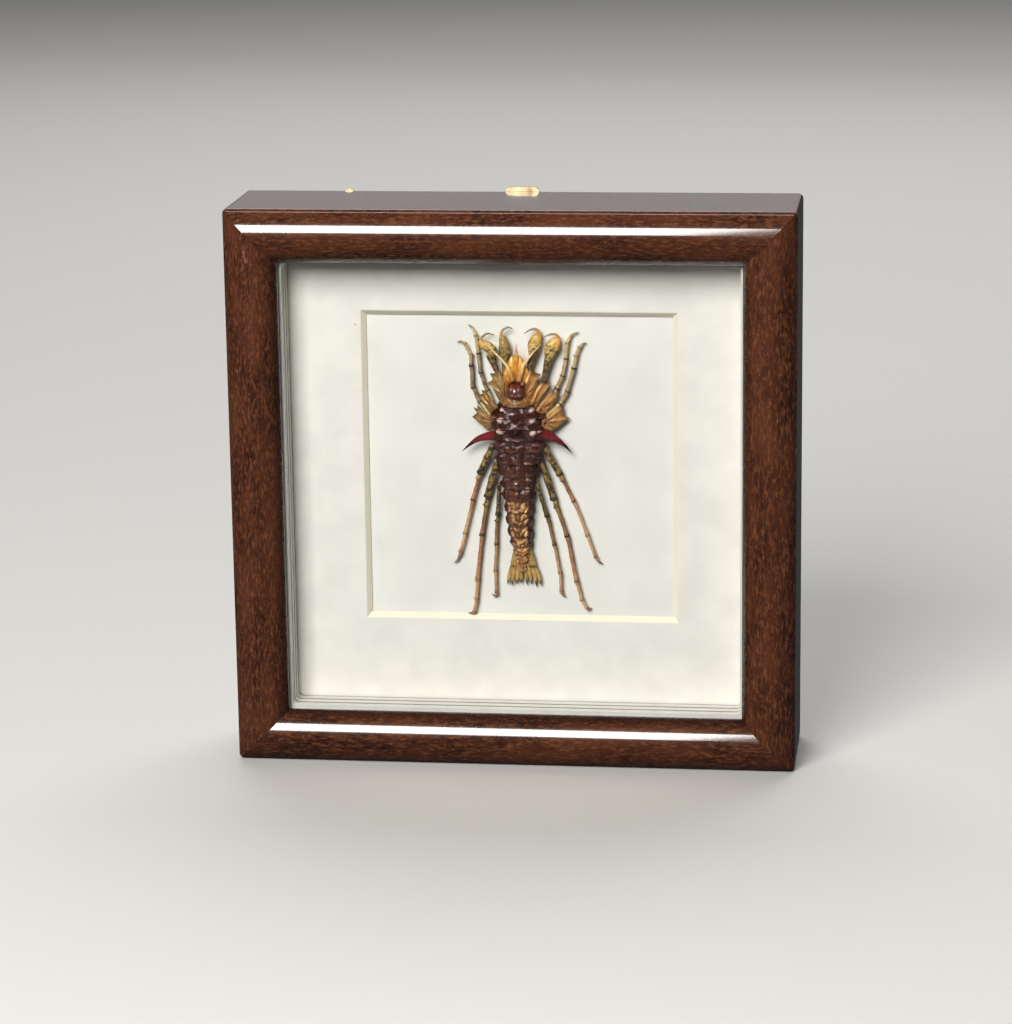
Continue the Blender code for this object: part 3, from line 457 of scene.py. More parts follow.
def add_piece(name, grids, finish, replaced=(), sharp=180.0, caps=()):
    """One mesh from grids of points, each with whether its rows close on themselves and its named values
    for each point. Caps are faces by point number."""
    points, faces, values = [], [], {}
    start = 0
    for place, wrap, marks in grids:
        rows, columns = place.shape[:2]
        row = np.arange(rows - 1)[:, None] * columns
        here = np.arange(columns if wrap else columns - 1)[None, :]
        beside = (here + 1) % columns
        quads = np.stack([row + here, row + beside, row + columns + beside, row + columns + here], axis=-1)
        faces.append(quads.reshape(-1, 4) + start)
        points.append(place.reshape(-1, 3))
        for key, value in marks.items():
            values.setdefault(key, []).append(np.broadcast_to(value, place.shape[:2]).ravel())
        start += rows * columns
    mesh = bpy.data.meshes.new(name)
    faces = np.vstack(faces).tolist() + [list(cap) for cap in caps]
    mesh.from_pydata(np.vstack(points).tolist(), [], faces)
    for key, value in values.items():
        layer = mesh.attributes.new(key, "FLOAT", "POINT")
        layer.data.foreach_set("value", np.concatenate(value).astype(np.float32))
    work = bmesh.new()
    work.from_mesh(mesh)
    bmesh.ops.remove_doubles(work, verts=work.verts, dist=1e-7)
    bmesh.ops.dissolve_degenerate(work, edges=work.edges, dist=1e-8)
    bmesh.ops.recalc_face_normals(work, faces=work.faces)
    work.to_mesh(mesh)
    work.free()
    mesh.shade_smooth()
    if sharp < 180:
        mesh.set_sharp_from_angle(angle=math.radians(sharp))
    mesh.materials.append(finish)
    piece = bpy.data.objects.new(name, mesh)
    bpy.context.scene.collection.objects.link(piece)
    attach(piece, "root")
    if replaced:
        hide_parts(*replaced)
    return piece


# Finishes

def feed(tree, socket, value):
    """Links a node's output into the socket, or sets the socket to a plain value."""
    if isinstance(value, bpy.types.NodeSocket):
        tree.links.new(value, socket)
    else:
        socket.default_value = value


def node(tree, kind, inputs=None, **set_up):
    made = tree.nodes.new(kind)
    for key, value in set_up.items():
        setattr(made, key, value)
    for key, value in (inputs or {}).items():
        feed(tree, made.inputs[key], value)
    return made


def math_node(tree, operation, first, second=0.0):
    return node(tree, "ShaderNodeMath", {0: first, 1: second}, operation=operation).outputs[0]


def blend(tree, share, first, second, mode="MIX"):
    made = node(tree, "ShaderNodeMix", {0: share}, data_type="RGBA", blend_type=mode)
    for key, value in ((6, first), (7, second)):
        feed(tree, made.inputs[key], value if isinstance(value, bpy.types.NodeSocket) else (*value[:3], 1.0))
    return made.outputs[2]


def span(tree, value, low, high, to_low=0.0, to_high=1.0):
    return node(tree, "ShaderNodeMapRange", {0: value, 1: low, 2: high, 3: to_low, 4: to_high}).outputs[0]


def attribute(tree, name):
    return node(tree, "ShaderNodeAttribute", attribute_name=name).outputs["Fac"]


def tinted(tree, tone, **colours):
    """The tone with each colour laid over it in turn, as far as the piece's value of that name says."""
    for name, colour in colours.items():
        tone = blend(tree, attribute(tree, name), tone, colour)
    return tone


def place_vector(tree):
    """Object coordinates in millimetres."""
    source = node(tree, "ShaderNodeTexCoord").outputs["Object"]
    return node(tree, "ShaderNodeMapping", {"Vector": source, "Scale": (1 / MM,) * 3}).outputs[0]


def noise_value(tree, vector, scale, detail, rough=0.5):
    inputs = {"Vector": vector, "Scale": scale, "Detail": detail, "Roughness": rough}
    return node(tree, "ShaderNodeTexNoise", inputs).outputs[0]


def new_group(name, takes, gives):
    group = bpy.data.node_groups.new(name, "ShaderNodeTree")
    for label, kind, value in takes:
        socket = group.interface.new_socket(label, in_out="INPUT", socket_type=kind)
        if value is not None:
            socket.default_value = value
    for label, kind in gives:
        group.interface.new_socket(label, in_out="OUTPUT", socket_type=kind)
    return group, group.nodes.new("NodeGroupInput").outputs, group.nodes.new("NodeGroupOutput").inputs


def group_node(tree, build, inputs):
    """The outputs of the node group that build makes."""
    made = tree.nodes.new("ShaderNodeGroup")
    made.node_tree = build()
    for key, value in inputs.items():
        feed(tree, made.inputs[key], value)
    return made.outputs


def once(build):
    """Makes a named group or material the first time that it is asked for."""
    def found():
        held = bpy.data.node_groups.get(build.__name__) or bpy.data.materials.get(build.__name__)
        return held or build()
    return found


@once
def wood_grain():
    """Streaks, short flecks and broad clouds of a fine hardwood, along the first axis of Place."""
    group, takes, gives = new_group(
        "wood_grain", (("Place", "NodeSocketVector", None),),
        (("Streak", "NodeSocketFloat"), ("Fleck", "NodeSocketFloat"), ("Cloud", "NodeSocketFloat")))
    layers = {"Streak": ((0.45, 1.4, 1.0), 6.0, 0.7), "Fleck": ((1.3, 3.4, 1.0), 4.0, 0.72),
              "Cloud": ((0.05, 0.16, 1.0), 3.0, 0.55)}
    for label, (scale, detail, rough) in layers.items():
        vector = node(group, "ShaderNodeMapping", {"Vector": takes["Place"], "Scale": scale}).outputs[0]
        group.links.new(noise_value(group, vector, 1.0, detail, rough), gives[label])
    return group


@once
def card_fibre():
    """Faint clouds and short fibres of pressed card or paper."""
    group, takes, gives = new_group(
        "card_fibre", (("Place", "NodeSocketVector", None), ("Coarse", "NodeSocketFloat", 1.0)),
        (("Cloud", "NodeSocketFloat"), ("Tooth", "NodeSocketFloat")))
    sizes = {0: takes["Place"], "Scale": takes["Coarse"]}
    scaled = node(group, "ShaderNodeVectorMath", sizes, operation="SCALE").outputs[0]
    group.links.new(noise_value(group, scaled, 0.12, 4.0), gives["Cloud"])
    group.links.new(noise_value(group, scaled, 1.1, 5.0, 0.7), gives["Tooth"])
    return group


@once
def shell_mottle():
    """Cloudy tone, dark blotches that grow with Cover, and fine wrinkles of dried shell."""
    group, takes, gives = new_group(
        "shell_mottle", (("Place", "NodeSocketVector", None), ("Cover", "NodeSocketFloat", 0.0)),
        (("Tone", "NodeSocketFloat"), ("Spots", "NodeSocketFloat"), ("Wrinkle", "NodeSocketFloat")))
    place = takes["Place"]
    cells = math_node(group, "ADD", noise_value(group, place, 1.15, 2.5, 0.6), takes["Cover"])
    group.links.new(noise_value(group, place, 0.9, 6.0, 0.65), gives["Tone"])
    group.links.new(span(group, cells, 0.57, 0.62), gives["Spots"])
    group.links.new(noise_value(group, place, 3.4, 5.0, 0.7), gives["Wrinkle"])
    return group


def new_material(name, roughness=0.5, **uniform):
    made = bpy.data.materials.new(name)
    made.use_nodes = True
    tree = made.node_tree
    shader = tree.nodes["Principled BSDF"]
    shader.inputs["Roughness"].default_value = roughness
    for key, value in uniform.items():
        shader.inputs[key.replace("_", " ")].default_value = value
    return made, tree, shader


def finish_with(tree, shader, colour, roughness=None, height=None, strength=0.2, distance=0.1 * MM):
    tree.links.new(colour, shader.inputs["Base Color"])
    if roughness is not None:
        tree.links.new(roughness, shader.inputs["Roughness"])
    if height is not None:
        bump = node(tree, "ShaderNodeBump", {"Height": height, "Strength": strength, "Distance": distance})
        tree.links.new(bump.outputs[0], shader.inputs["Normal"])


@once
def stained_moulding():
    """Red-brown stain that settles in the grain, under satin lacquer, with a few paler scuffs and painted
    shade towards the sight edge.
    """
    chosen = settings("moulding")
    made, tree, shader = new_material("stained_moulding", chosen.gloss, Specular_IOR_Level=0.1,
                                      Coat_Weight=1.0, Coat_Roughness=0.09, Coat_IOR=1.7)
    place = node(tree, "ShaderNodeCombineXYZ", {0: attribute(tree, "along"), 1: attribute(tree, "around"),
                                                2: attribute(tree, "rail")}).outputs[0]
    grain = group_node(tree, wood_grain, {"Place": place})
    tone = blend(tree, span(tree, grain["Cloud"], 0.36, 0.64), chosen.deep, chosen.stain)
    tone = blend(tree, span(tree, grain["Streak"], 0.36, 0.66, 0.0, 0.85), tone, chosen.stain)
    tone = blend(tree, span(tree, grain["Streak"], 0.50, 0.74, 0.0, 0.62), tone, chosen.figure)
    tone = blend(tree, span(tree, grain["Fleck"], 0.60, 0.78, 0.0, 0.75), tone, chosen.figure)
    tone = blend(tree, span(tree, grain["Fleck"], 0.42, 0.28, 0.0, 0.8), tone, chosen.deep)
    # Painted shade: each rail darkens towards its sight edge
    tone = blend(tree, math_node(tree, "MULTIPLY", attribute(tree, "shade"), 0.8), tone, chosen.deep)
    tone = blend(tree, math_node(tree, "MULTIPLY", attribute(tree, "scuff"), 0.6), tone, srgb(180, 112, 90))
    rough = span(tree, grain["Fleck"], 0.3, 0.75, chosen.gloss * 0.85, chosen.gloss * 1.5)
    finish_with(tree, shader, tone, rough, grain["Fleck"], 0.14, 0.05 * MM)
    return made


def card_material(name, colour, coarse=1.0, depth=0.03 * MM, core=None, fleck=None, seam_shadows=()):
    """Matt card or paper in one colour. The second colour core shows where the value core says so, fleck is
    the place of a brown speck, and the last argument gives the depths of the joints between boards, in
    millimetres, where a dark line is painted as their shadow."""
    made, tree, shader = new_material(name, 0.85, Specular_IOR_Level=0.25)
    place = place_vector(tree)
    fibre = group_node(tree, card_fibre, {"Place": place, "Coarse": coarse})
    dimmed = tuple(c * 0.93 for c in colour)
    tone = blend(tree, span(tree, fibre["Cloud"], 0.38, 0.66), colour, dimmed)
    tone = blend(tree, span(tree, fibre["Tooth"], 0.6, 0.8, 0.0, 0.35), tone, dimmed)
    if core is not None:
        tone = blend(tree, attribute(tree, "core"), tone, core)
    if fleck is not None:
        gap = node(tree, "ShaderNodeVectorMath", {0: place, 1: fleck}, operation="DISTANCE")
        tone = blend(tree, span(tree, gap.outputs["Value"], 0.3, 0.1), tone, srgb(176, 150, 126))
    # Painted shadow: a dark line along each joint between the boards
    for seam in seam_shadows:
        deep = node(tree, "ShaderNodeSeparateXYZ", {0: place}).outputs["Y"]
        apart = math_node(tree, "ABSOLUTE", math_node(tree, "SUBTRACT", deep, seam))
        tone = blend(tree, span(tree, apart, 0.5, 0.15), tone, srgb(92, 80, 66))
    finish_with(tree, shader, tone, None, fibre["Tooth"], 0.35, depth)
    return made


@once
def clear_pane():
    """Coated glass that hardly mirrors the room; lamps reach what is behind it through the mix."""
    made, tree, shader = new_material("clear_pane", 0.0, IOR=1.14)
    shader.inputs["Base Color"].default_value = (1.0, 1.0, 1.0, 1.0)
    shader.inputs["Transmission Weight"].default_value = 1.0
    through = node(tree, "ShaderNodeBsdfTransparent")
    path = node(tree, "ShaderNodeLightPath").outputs
    unbent = math_node(tree, "MAXIMUM", path["Is Shadow Ray"], path["Is Diffuse Ray"])
    mixed = node(tree, "ShaderNodeMixShader", {0: unbent, 1: shader.outputs[0], 2: through.outputs[0]})
    tree.links.new(mixed.outputs[0], tree.nodes["Material Output"].inputs["Surface"])
    return made


@once
def hardboard_back():
    made, tree, shader = new_material("hardboard_back", 0.6)
    fibre = group_node(tree, card_fibre, {"Place": place_vector(tree), "Coarse": 2.2})
    panel = settings("boards").panel
    tone = blend(tree, span(tree, fibre["Tooth"], 0.3, 0.7), tuple(c * 0.6 for c in panel),
                 tuple(min(c * 1.35, 1) for c in panel))
    finish_with(tree, shader, tone, None, fibre["Tooth"], 0.4, 0.05 * MM)
    return made


@once
def aged_brass():
    made, tree, shader = new_material("aged_brass", 0.3, Metallic=1.0)
    fibre = group_node(tree, card_fibre, {"Place": place_vector(tree), "Coarse": 2.5})
    tone = blend(tree, span(tree, fibre["Cloud"], 0.35, 0.7), srgb(206, 192, 156), srgb(140, 122, 86))
    rough = span(tree, fibre["Tooth"], 0.3, 0.8, 0.35, 0.6)
    finish_with(tree, shader, tone, rough, fibre["Tooth"], 0.15, 0.02 * MM)
    return made


@once
def dark_shell():
    """Trunk and horns: wine red over a very dark wine, brown to gold on the hind ridge, tan on the collar,
    crimson on the horns, darkening to their tips; painted highlights on the knobs and under the head, and
    painted shade in the hollow, in the grooves between the rings and along the flanks."""
    chosen = settings("shell")
    made, tree, shader = new_material("dark_shell", 0.3, Coat_Roughness=0.1, Specular_IOR_Level=0.06)
    mottle = group_node(tree, shell_mottle, {"Place": place_vector(tree), "Cover": 0.0})
    dark = tuple(c * 0.22 for c in chosen.wine)
    tone = blend(tree, span(tree, mottle["Tone"], 0.38, 0.62), dark, chosen.wine)
    tone = blend(tree, span(tree, mottle["Wrinkle"], 0.52, 0.70, 0.0, 0.6), tone, srgb(104, 46, 32))
    brown = blend(tree, span(tree, mottle["Wrinkle"], 0.40, 0.62), srgb(42, 22, 13), srgb(146, 94, 58))
    gold = blend(tree, span(tree, mottle["Tone"], 0.38, 0.6), srgb(176, 118, 64), chosen.gold)
    tan = blend(tree, span(tree, mottle["Tone"], 0.4, 0.6), srgb(112, 72, 38), chosen.tan)
    # The palest colour is painted highlight on the trunk: glints on the big knobs and a lit rim under the
    # head
    tone = tinted(tree, tone, brown=brown, gold=gold, tan=tan, crimson=chosen.crimson,
                  pale=srgb(218, 186, 170))
    # The next value is painted shade in the hollow, in the grooves between the rings and on the lower flanks
    # of the trunk, and on the horns their dark tips and painted shade on their flanks; it also makes the
    # shell rough and uncoated there
    black_and_shade = attribute(tree, "black_and_shade")
    tone = blend(tree, black_and_shade, tone, srgb(20, 10, 8))
    rough = math_node(tree, "MAXIMUM", span(tree, mottle["Wrinkle"], 0.3, 0.75, 0.28, 0.55), black_and_shade)
    tree.links.new(span(tree, black_and_shade, 0.0, 0.6, 0.36, 0.0), shader.inputs["Coat Weight"])
    finish_with(tree, shader, tone, rough, mottle["Wrinkle"], 0.5, 0.12 * MM)
    return made


@once
def head_shell():
    """The polished dark globe of the head, with painted glints, and its two red-brown eyes."""
    made, tree, shader = new_material("head_shell", 0.3, Coat_Weight=0.6, Coat_Roughness=0.06,
                                      Specular_IOR_Level=0.1)
    mottle = group_node(tree, shell_mottle, {"Place": place_vector(tree), "Cover": 0.0})
    tone = blend(tree, span(tree, mottle["Tone"], 0.36, 0.64), srgb(44, 14, 11), srgb(112, 50, 32))
    # The pale colour is painted glints on the globe
    tone = tinted(tree, tone, tan=srgb(150, 76, 42), pale=srgb(214, 170, 152))
    finish_with(tree, shader, tone, None, mottle["Wrinkle"], 0.25, 0.05 * MM)
    return made


def limb_marks(shape, **given):
    """The values that limb materials read, 0 where nothing is given, all in the shape of the points."""
    return {key: np.broadcast_to(given.get(key, 0.0), shape) for key in LIMB_VALUES}


def limb_shell(name):
    """Limb shell coloured along the value station, with dark spots up to its reach; the other values make
    it olive, darker at its joints, paler or pink, and darker on its flanks as painted shade."""
    stops, reach, amount, cover = LIMB_FINISHES[name]
    chosen = settings("shell")
    made, tree, shader = new_material(name, 0.34, Coat_Weight=0.25, Coat_Roughness=0.1,
                                      Specular_IOR_Level=0.1)
    mottle = group_node(tree, shell_mottle, {"Place": place_vector(tree), "Cover": cover})
    station = attribute(tree, "station")
    ramp = node(tree, "ShaderNodeValToRGB", {0: station})
    while len(ramp.color_ramp.elements) < len(stops):
        ramp.color_ramp.elements.new(0.5)
    for element, (position, shade) in zip(ramp.color_ramp.elements, stops):
        colour = getattr(chosen, shade) if isinstance(shade, str) else srgb(*shade)
        element.position = position
        element.color = (*colour, 1.0)
    tone = blend(tree, attribute(tree, "olive"), ramp.outputs[0], srgb(132, 116, 70))
    darker = blend(tree, 1.0, tone, (0.66, 0.58, 0.49), "MULTIPLY")
    tone = blend(tree, span(tree, mottle["Tone"], 0.40, 0.60), darker, tone)
    lighter = blend(tree, 0.5, tone, srgb(232, 204, 150))
    tone = blend(tree, span(tree, mottle["Wrinkle"], 0.56, 0.72, 0.0, 0.7), tone, lighter)
    spots = math_node(tree, "MULTIPLY", mottle["Spots"], span(tree, station, reach, reach - 0.14))
    tone = blend(tree, math_node(tree, "MULTIPLY", spots, amount), tone, chosen.umber)
    tone = tinted(tree, tone, pink=srgb(192, 132, 122), pale=srgb(230, 196, 138))
    # Painted shade: the limbs darken towards their flanks
    tone = blend(tree, math_node(tree, "MULTIPLY", attribute(tree, "flank"), 0.45), tone, chosen.umber)
    tone = tinted(tree, tone, dark=chosen.umber)
    rough = span(tree, mottle["Wrinkle"], 0.3, 0.75, 0.26, 0.5)
    finish_with(tree, shader, tone, rough, mottle["Wrinkle"], 0.45, 0.08 * MM)
    return made


# Pieces

class SPECIMEN_OT_moulding(bpy.types.Operator):
    """Four mitred rails: the moulding's section carried along each side and round half of each corner."""
    bl_idname = "specimen.moulding"
    bl_label = "Moulding"

    def execute(self, context):
        for index, side in enumerate(("top", "right", "bottom", "left")):
            place, marks, ends = rail_surface(index)
            add_piece("moulding_" + side, [(place, True, marks)], stained_moulding(),
                      ("frame_rail_" + side,), sharp=50, caps=ends)
        return {"FINISHED"}


def moulding_section():
    """Section as (inward from the edge, depth from the front arris): the outer face, a quarter round for
    the arris, the crown as one arc through the arris and the sight edge, the lip, the rabbet, the back."""
    chord = math.hypot(RAIL_WIDTH, SIGHT_DROP)
    rise = settings("moulding").crown_rise
    radius = (chord * chord / 4 + rise * rise) / (2 * rise)
    reach = math.asin(chord / 2 / radius)
    swing = np.linspace(-reach, reach, 90)
    across = RAIL_WIDTH / 2 + radius * np.sin(swing)
    crown = np.stack([across, SIGHT_DROP * across / RAIL_WIDTH - radius * np.cos(swing) + radius - rise], 1)
    crown = crown[crown[:, 0] > ARRIS * 1.2]
    turn = np.linspace(0, np.pi / 3.2, 8)
    arris = np.stack([ARRIS * 2.2 * (1 - np.cos(turn)), ARRIS * (1 - 1.4 * np.sin(turn))], 1)
    wall = RAIL_WIDTH - LIP_WIDTH
    corners = [
        ((0.0, MOULDING_DEPTH), (0.0, ARRIS * 1.6), 24),
        ((RAIL_WIDTH, SIGHT_DROP), (RAIL_WIDTH, LIP_BACK), 3),
        ((RAIL_WIDTH, LIP_BACK), (wall, LIP_BACK), 4), ((wall, LIP_BACK), (wall, MOULDING_DEPTH), 12),
        ((wall, MOULDING_DEPTH), (0.0, MOULDING_DEPTH), 10),
    ]
    runs = [np.linspace(a, b, n, endpoint=False) for a, b, n in corners]
    return np.vstack([runs[0], arris, crown[:-1], *runs[1:]])


def scuff_at(place):
    """1 on the scuffs and 0 away from them, by the distance to each short stroke in the frame's face."""
    flat = np.stack([place[..., 0], place[..., 2] - CENTRE_Z], axis=-1) / MM
    nearest = np.full(place.shape[:2], 99.0)
    for start, end in np.array(SCUFFS):
        step = end - start
        share = np.clip(((flat - start) @ step) / (step @ step), 0, 1)
        nearest = np.minimum(nearest, np.linalg.norm(flat - start - share[..., None] * step, axis=-1))
    ragged = nearest + 0.25 * noise(place / MM, 0.6, 5)
    return smoothstep(SCUFF_WIDTH, 0.0, ragged) * (place[..., 1] < FRONT_ARRIS_Y + ARRIS)


def rail_surface(index):
    """One rail: rows run along its length, columns round its section. A row is straight up to the corner's
    round, then turns through 45 degrees about the corner's centre, at a radius that shrinks inward."""
    section = moulding_section()
    across, depth = section[:, 0][None, :], section[:, 1][None, :]
    corner = settings("moulding").corner
    straight = HALF - np.maximum(across, corner)
    left = np.maximum(corner - across, 0.0)
    share = np.linspace(-1, 1, RAIL_STEPS)[:, None]
    turn = np.linspace(0, np.pi / 4, CORNER_STEPS)[1:, None]
    middle_x, middle_z = share * straight, np.broadcast_to(HALF - across, (RAIL_STEPS, across.shape[1]))
    end_x = straight + left * np.sin(turn)
    end_z = HALF - np.maximum(across, corner) + left * np.cos(turn)
    x = np.vstack([-end_x[::-1], middle_x, end_x])
    z = np.vstack([end_z[::-1], middle_z, end_z])
    x -= np.sign(x) * MITRE_GAP
    quarter = index * np.pi / 2
    place = np.stack([x * np.cos(quarter) + z * np.sin(quarter),
                      FRONT_ARRIS_Y + np.broadcast_to(depth, x.shape),
                      CENTRE_Z - x * np.sin(quarter) + z * np.cos(quarter)], axis=-1)
    steps = np.linalg.norm(np.diff(section, axis=0, prepend=section[:1]), axis=1)
    count = len(section)
    marks = {
        "along": x / MM + GRAIN_STEP[0] * index, "around": (np.cumsum(steps) / MM)[None, :],
        # the value shade is painted shade, rising towards the sight edge
        "rail": index * GRAIN_STEP[1], "shade": smoothstep(0.78 * RAIL_WIDTH, RAIL_WIDTH, across),
        "scuff": scuff_at(place) if index == 3 else 0.0,
    }
    marks = {key: np.broadcast_to(value, x.shape) for key, value in marks.items()}
    last = (len(x) - 1) * count
    return place, marks, (range(count), range(last, last + count))


def square_ring(half, radius, middle=(0.0, 0.0), steps=10):
    """The outline of a square with round corners, as x and z, with steps points round each corner."""
    turn = np.radians(np.arange(4)[:, None] * 90 + np.linspace(0, 90, steps)[None, :])
    sign_x, sign_z = np.array([[1], [-1], [-1], [1]]), np.array([[1], [1], [-1], [-1]])
    x = middle[0] + sign_x * (half - radius) + radius * np.cos(turn)
    z = middle[1] + sign_z * (half - radius) + radius * np.sin(turn)
    return x.ravel(), z.ravel()


def mat_rings():
    """The mat as square rings, from its back over its face, down the bevel and home, with how far each
    ring shows the core."""
    half, inner = MAT_HIGH[0], WINDOW / 2
    front, back = MAT_LOW[1], MAT_HIGH[1]
    section = (
        (half, back, BOARD_CORNER, 0), (half, front, BOARD_CORNER, 0),
        (inner + 5 * SOFT_EDGE, front, WINDOW_CORNER, 0), (inner + SOFT_EDGE, front, WINDOW_CORNER, 0),
        (inner, front + SOFT_EDGE / 2, WINDOW_CORNER, 0.6),
        (inner - SOFT_EDGE, front + SOFT_EDGE * 1.3, WINDOW_CORNER, 1),
        (inner - MAT_BEVEL + SOFT_EDGE, back - SOFT_EDGE, BEVEL_CORNER, 1),
        (inner - MAT_BEVEL, back, BEVEL_CORNER, 1), (half, back, BOARD_CORNER, 0),
    )
    rings = []
    for size, y, radius, core in section:
        x, z = square_ring(size, radius, WINDOW_SHIFT if size < half else (0.0, 0.0))
        rings.append(np.stack([x, np.full_like(x, y), z + CENTRE_Z], axis=1))
    place = np.stack(rings)
    return place, np.broadcast_to(np.array([row[3] for row in section])[:, None], place.shape[:2])


class SPECIMEN_OT_boards(bpy.types.Operator):
    """The pane, the spacers, the mat with its bevelled window, the paper and the closed back."""
    bl_idname = "specimen.boards"
    bl_label = "Boards and pane"

    def execute(self, context):
        chosen = settings("boards")
        place, core = mat_rings()
        fleck = (FLECK[0], MAT_LOW[1] / MM, CENTRE_Z / MM + FLECK[1])
        face = card_material("mat_face", chosen.mat, 1.0, 0.02 * MM, chosen.core, fleck)
        add_piece("mat", [(place, True, {"core": core})], face, ("mat_board",), sharp=30)
        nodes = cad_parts
        spacers = ["spacer_board_" + name for name in ("front", "middle", "back")]
        # Depths of the joints between the spacer boards, where their shadow lines are painted
        seam_shadows = [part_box(name)[1][1] / MM for name in spacers]
        finish = card_material("spacer_face", chosen.spacer, 1.4, seam_shadows=seam_shadows)
        for name in spacers:
            dress(nodes[name], finish)
        dress(nodes["backing_board"], card_material("backing_face", chosen.paper, 0.55, 0.12 * MM))
        dress(nodes["filler_board"], card_material("filler_face", srgb(150, 118, 84)))
        dress(nodes["back_panel"], hardboard_back())
        dress(nodes["glass_pane"], clear_pane())
        for name, thing in nodes.items():
            if "clip" in name or "tab" in name:
                dress(thing, aged_brass())
        return {"FINISHED"}


def dress(thing, finish):
    thing.data.materials.clear()
    thing.data.materials.append(finish)


def trunk_values(z):
    table = np.array(TRUNK)[::-1]
    return [np.interp(z, table[:, 0], table[:, k]) for k in (1, 2, 3)]


def bump(x, z, centre, reach):
    """A knob's height: exp(-1.4 r^1.5), with r the distance from its centre over its reach."""
    return np.exp(-1.4 * (np.hypot(x - centre[0], z - centre[1]) / reach) ** 1.5)


def leaf(x, z, centre, half, width, tilt):
    """A pointed leaf: along its length u its half width shrinks as 1 - u^2, and its height falls as the
    square root of what is left to its edge."""
    turn = math.radians(tilt)
    along = ((x - centre[0]) * math.sin(turn) + (z - centre[1]) * math.cos(turn)) / half
    across = (x - centre[0]) * math.cos(turn) - (z - centre[1]) * math.sin(turn)
    room = width * np.clip(1 - along ** 2, 1e-4, 1)
    return np.sqrt(np.clip(1 - np.abs(across) / room, 0, 1)) * (np.abs(along) < 1)


def hind_scales():
    """Scales of the hind body, as centre, half length, half width and tilt: on each segment a keel, two
    leaves that lean together towards the tail, two smaller ones behind and two spots beside them."""
    draw = np.random.default_rng(7)
    found = []
    for front, hind in zip(SEGMENT_EDGES[9:16], SEGMENT_EDGES[10:17]):
        length = front - hind
        middle, half, back = (float(v) for v in trunk_values(0.5 * (front + hind)))
        wide = half / 3.6
        found.append(((middle, front - 0.3 * length), 0.24 * length, 0.2, draw.uniform(-8, 8)))
        for sign in (-1, 1):
            for x, z, reach, width, tilt in ((1.05, 0.36, 0.34, 0.62, 34), (0.55, 0.74, 0.22, 0.42, 50),
                                             (1.75, 0.66, 0.24, 0.40, 20), (1.9, 0.2, 0.12, 0.28, 0)):
                size = draw.uniform(0.65, 1.35)
                centre = (middle + sign * 1.15 * x * wide + draw.uniform(-0.22, 0.22),
                          front - (z + draw.uniform(-0.1, 0.1)) * length)
                lean = sign * (tilt + draw.uniform(-28, 28))
                found.append((centre, reach * length * size, width * size * wide, lean))
    return found


def front_body(z):
    """1 on the front body and 0 on the hind body, which has scales in place of knobs."""
    return smoothstep(-4.4, -3.0, z)


def trunk_grid():
    """The plain trunk: rings of an egg-shaped section, each flaring towards its hind edge. Gives its points
    with their x, z, angle round the section, degrees from the back's middle and share along their ring."""
    z = np.linspace(TRUNK[0][0], TRUNK[-1][0], TRUNK_ROWS)[:, None]
    turn = turns(TRUNK_SIDES)[None, :]
    middle, half, back = trunk_values(z)
    edges = np.array(SEGMENT_EDGES)
    segment = np.clip(np.searchsorted(-edges, -z, side="right") - 1, 0, len(edges) - 2)
    share = np.clip((edges[segment] - z) / (edges[segment] - edges[segment + 1]), 0, 1)
    flare = 0.92 + 0.13 * share ** 1.3 - 0.13 * smoothstep(0.9, 1.0, share)
    low = TRUNK_WAIST * back
    rise = np.where(np.sin(turn) > 0, (back - low) * flare, low - BELLY)
    degrees = (np.degrees(turn) - 90 + 180) % 360 - 180
    x = middle + half * flare * np.cos(turn)
    z = z * np.ones_like(turn)
    return at(x, z, low + rise * np.sin(turn), TRUNK_OFFSET), x, z, turn, degrees, share


def trunk_relief(x, z, degrees, share, rough, fine):
    """Millimetres that knobs, side lobes, ridges, the hollow, scales and noise add to the plain trunk, then
    the knobs alone, the hollow alone and how bright each scale is."""
    away = np.abs(degrees)
    thorax = front_body(z)
    knobs = np.zeros_like(x)
    for kx, kz, height, reach in KNOBS:
        knobs = np.maximum(knobs, height * bump(x, z, (kx, kz), reach))
    sides = np.exp(-((away - 84) / 13) ** 2) * np.exp(-((share - 0.55) / 0.22) ** 2)
    ridges = np.exp(-(degrees / 10) ** 2) * 0.35 + np.exp(-((away - 42) / 9) ** 2) * 0.3
    ridges = ridges * (0.4 + 0.6 * np.sin(np.pi * share)) * smoothstep(13, 8, z) * thorax
    hollow = np.exp(-((x - HOLLOW[0]) / HOLLOW[2]) ** 4 - ((z - HOLLOW[1]) / HOLLOW[3]) ** 4)
    scales = np.zeros_like(x)
    bright = np.zeros_like(x)
    draw = np.random.default_rng(9)
    for centre, reach, width, tilt in hind_scales():
        scale = leaf(x, z, centre, reach, width, tilt)
        scales = np.maximum(scales, scale)
        bright = np.maximum(bright, smoothstep(0.1, 0.7, scale) * draw.uniform(0.2, 1.0))
    scales *= smoothstep(75, 60, away)
    lift = knobs + 0.9 * sides * smoothstep(21, 18, z) * thorax + 0.35 * sides * (1 - thorax) + ridges
    lift += 0.42 * scales + 0.30 * rough * thorax + 0.1 * rough + 0.12 * fine - 0.25 * hollow
    return lift * smoothstep(108, 80, away), knobs, hollow, bright


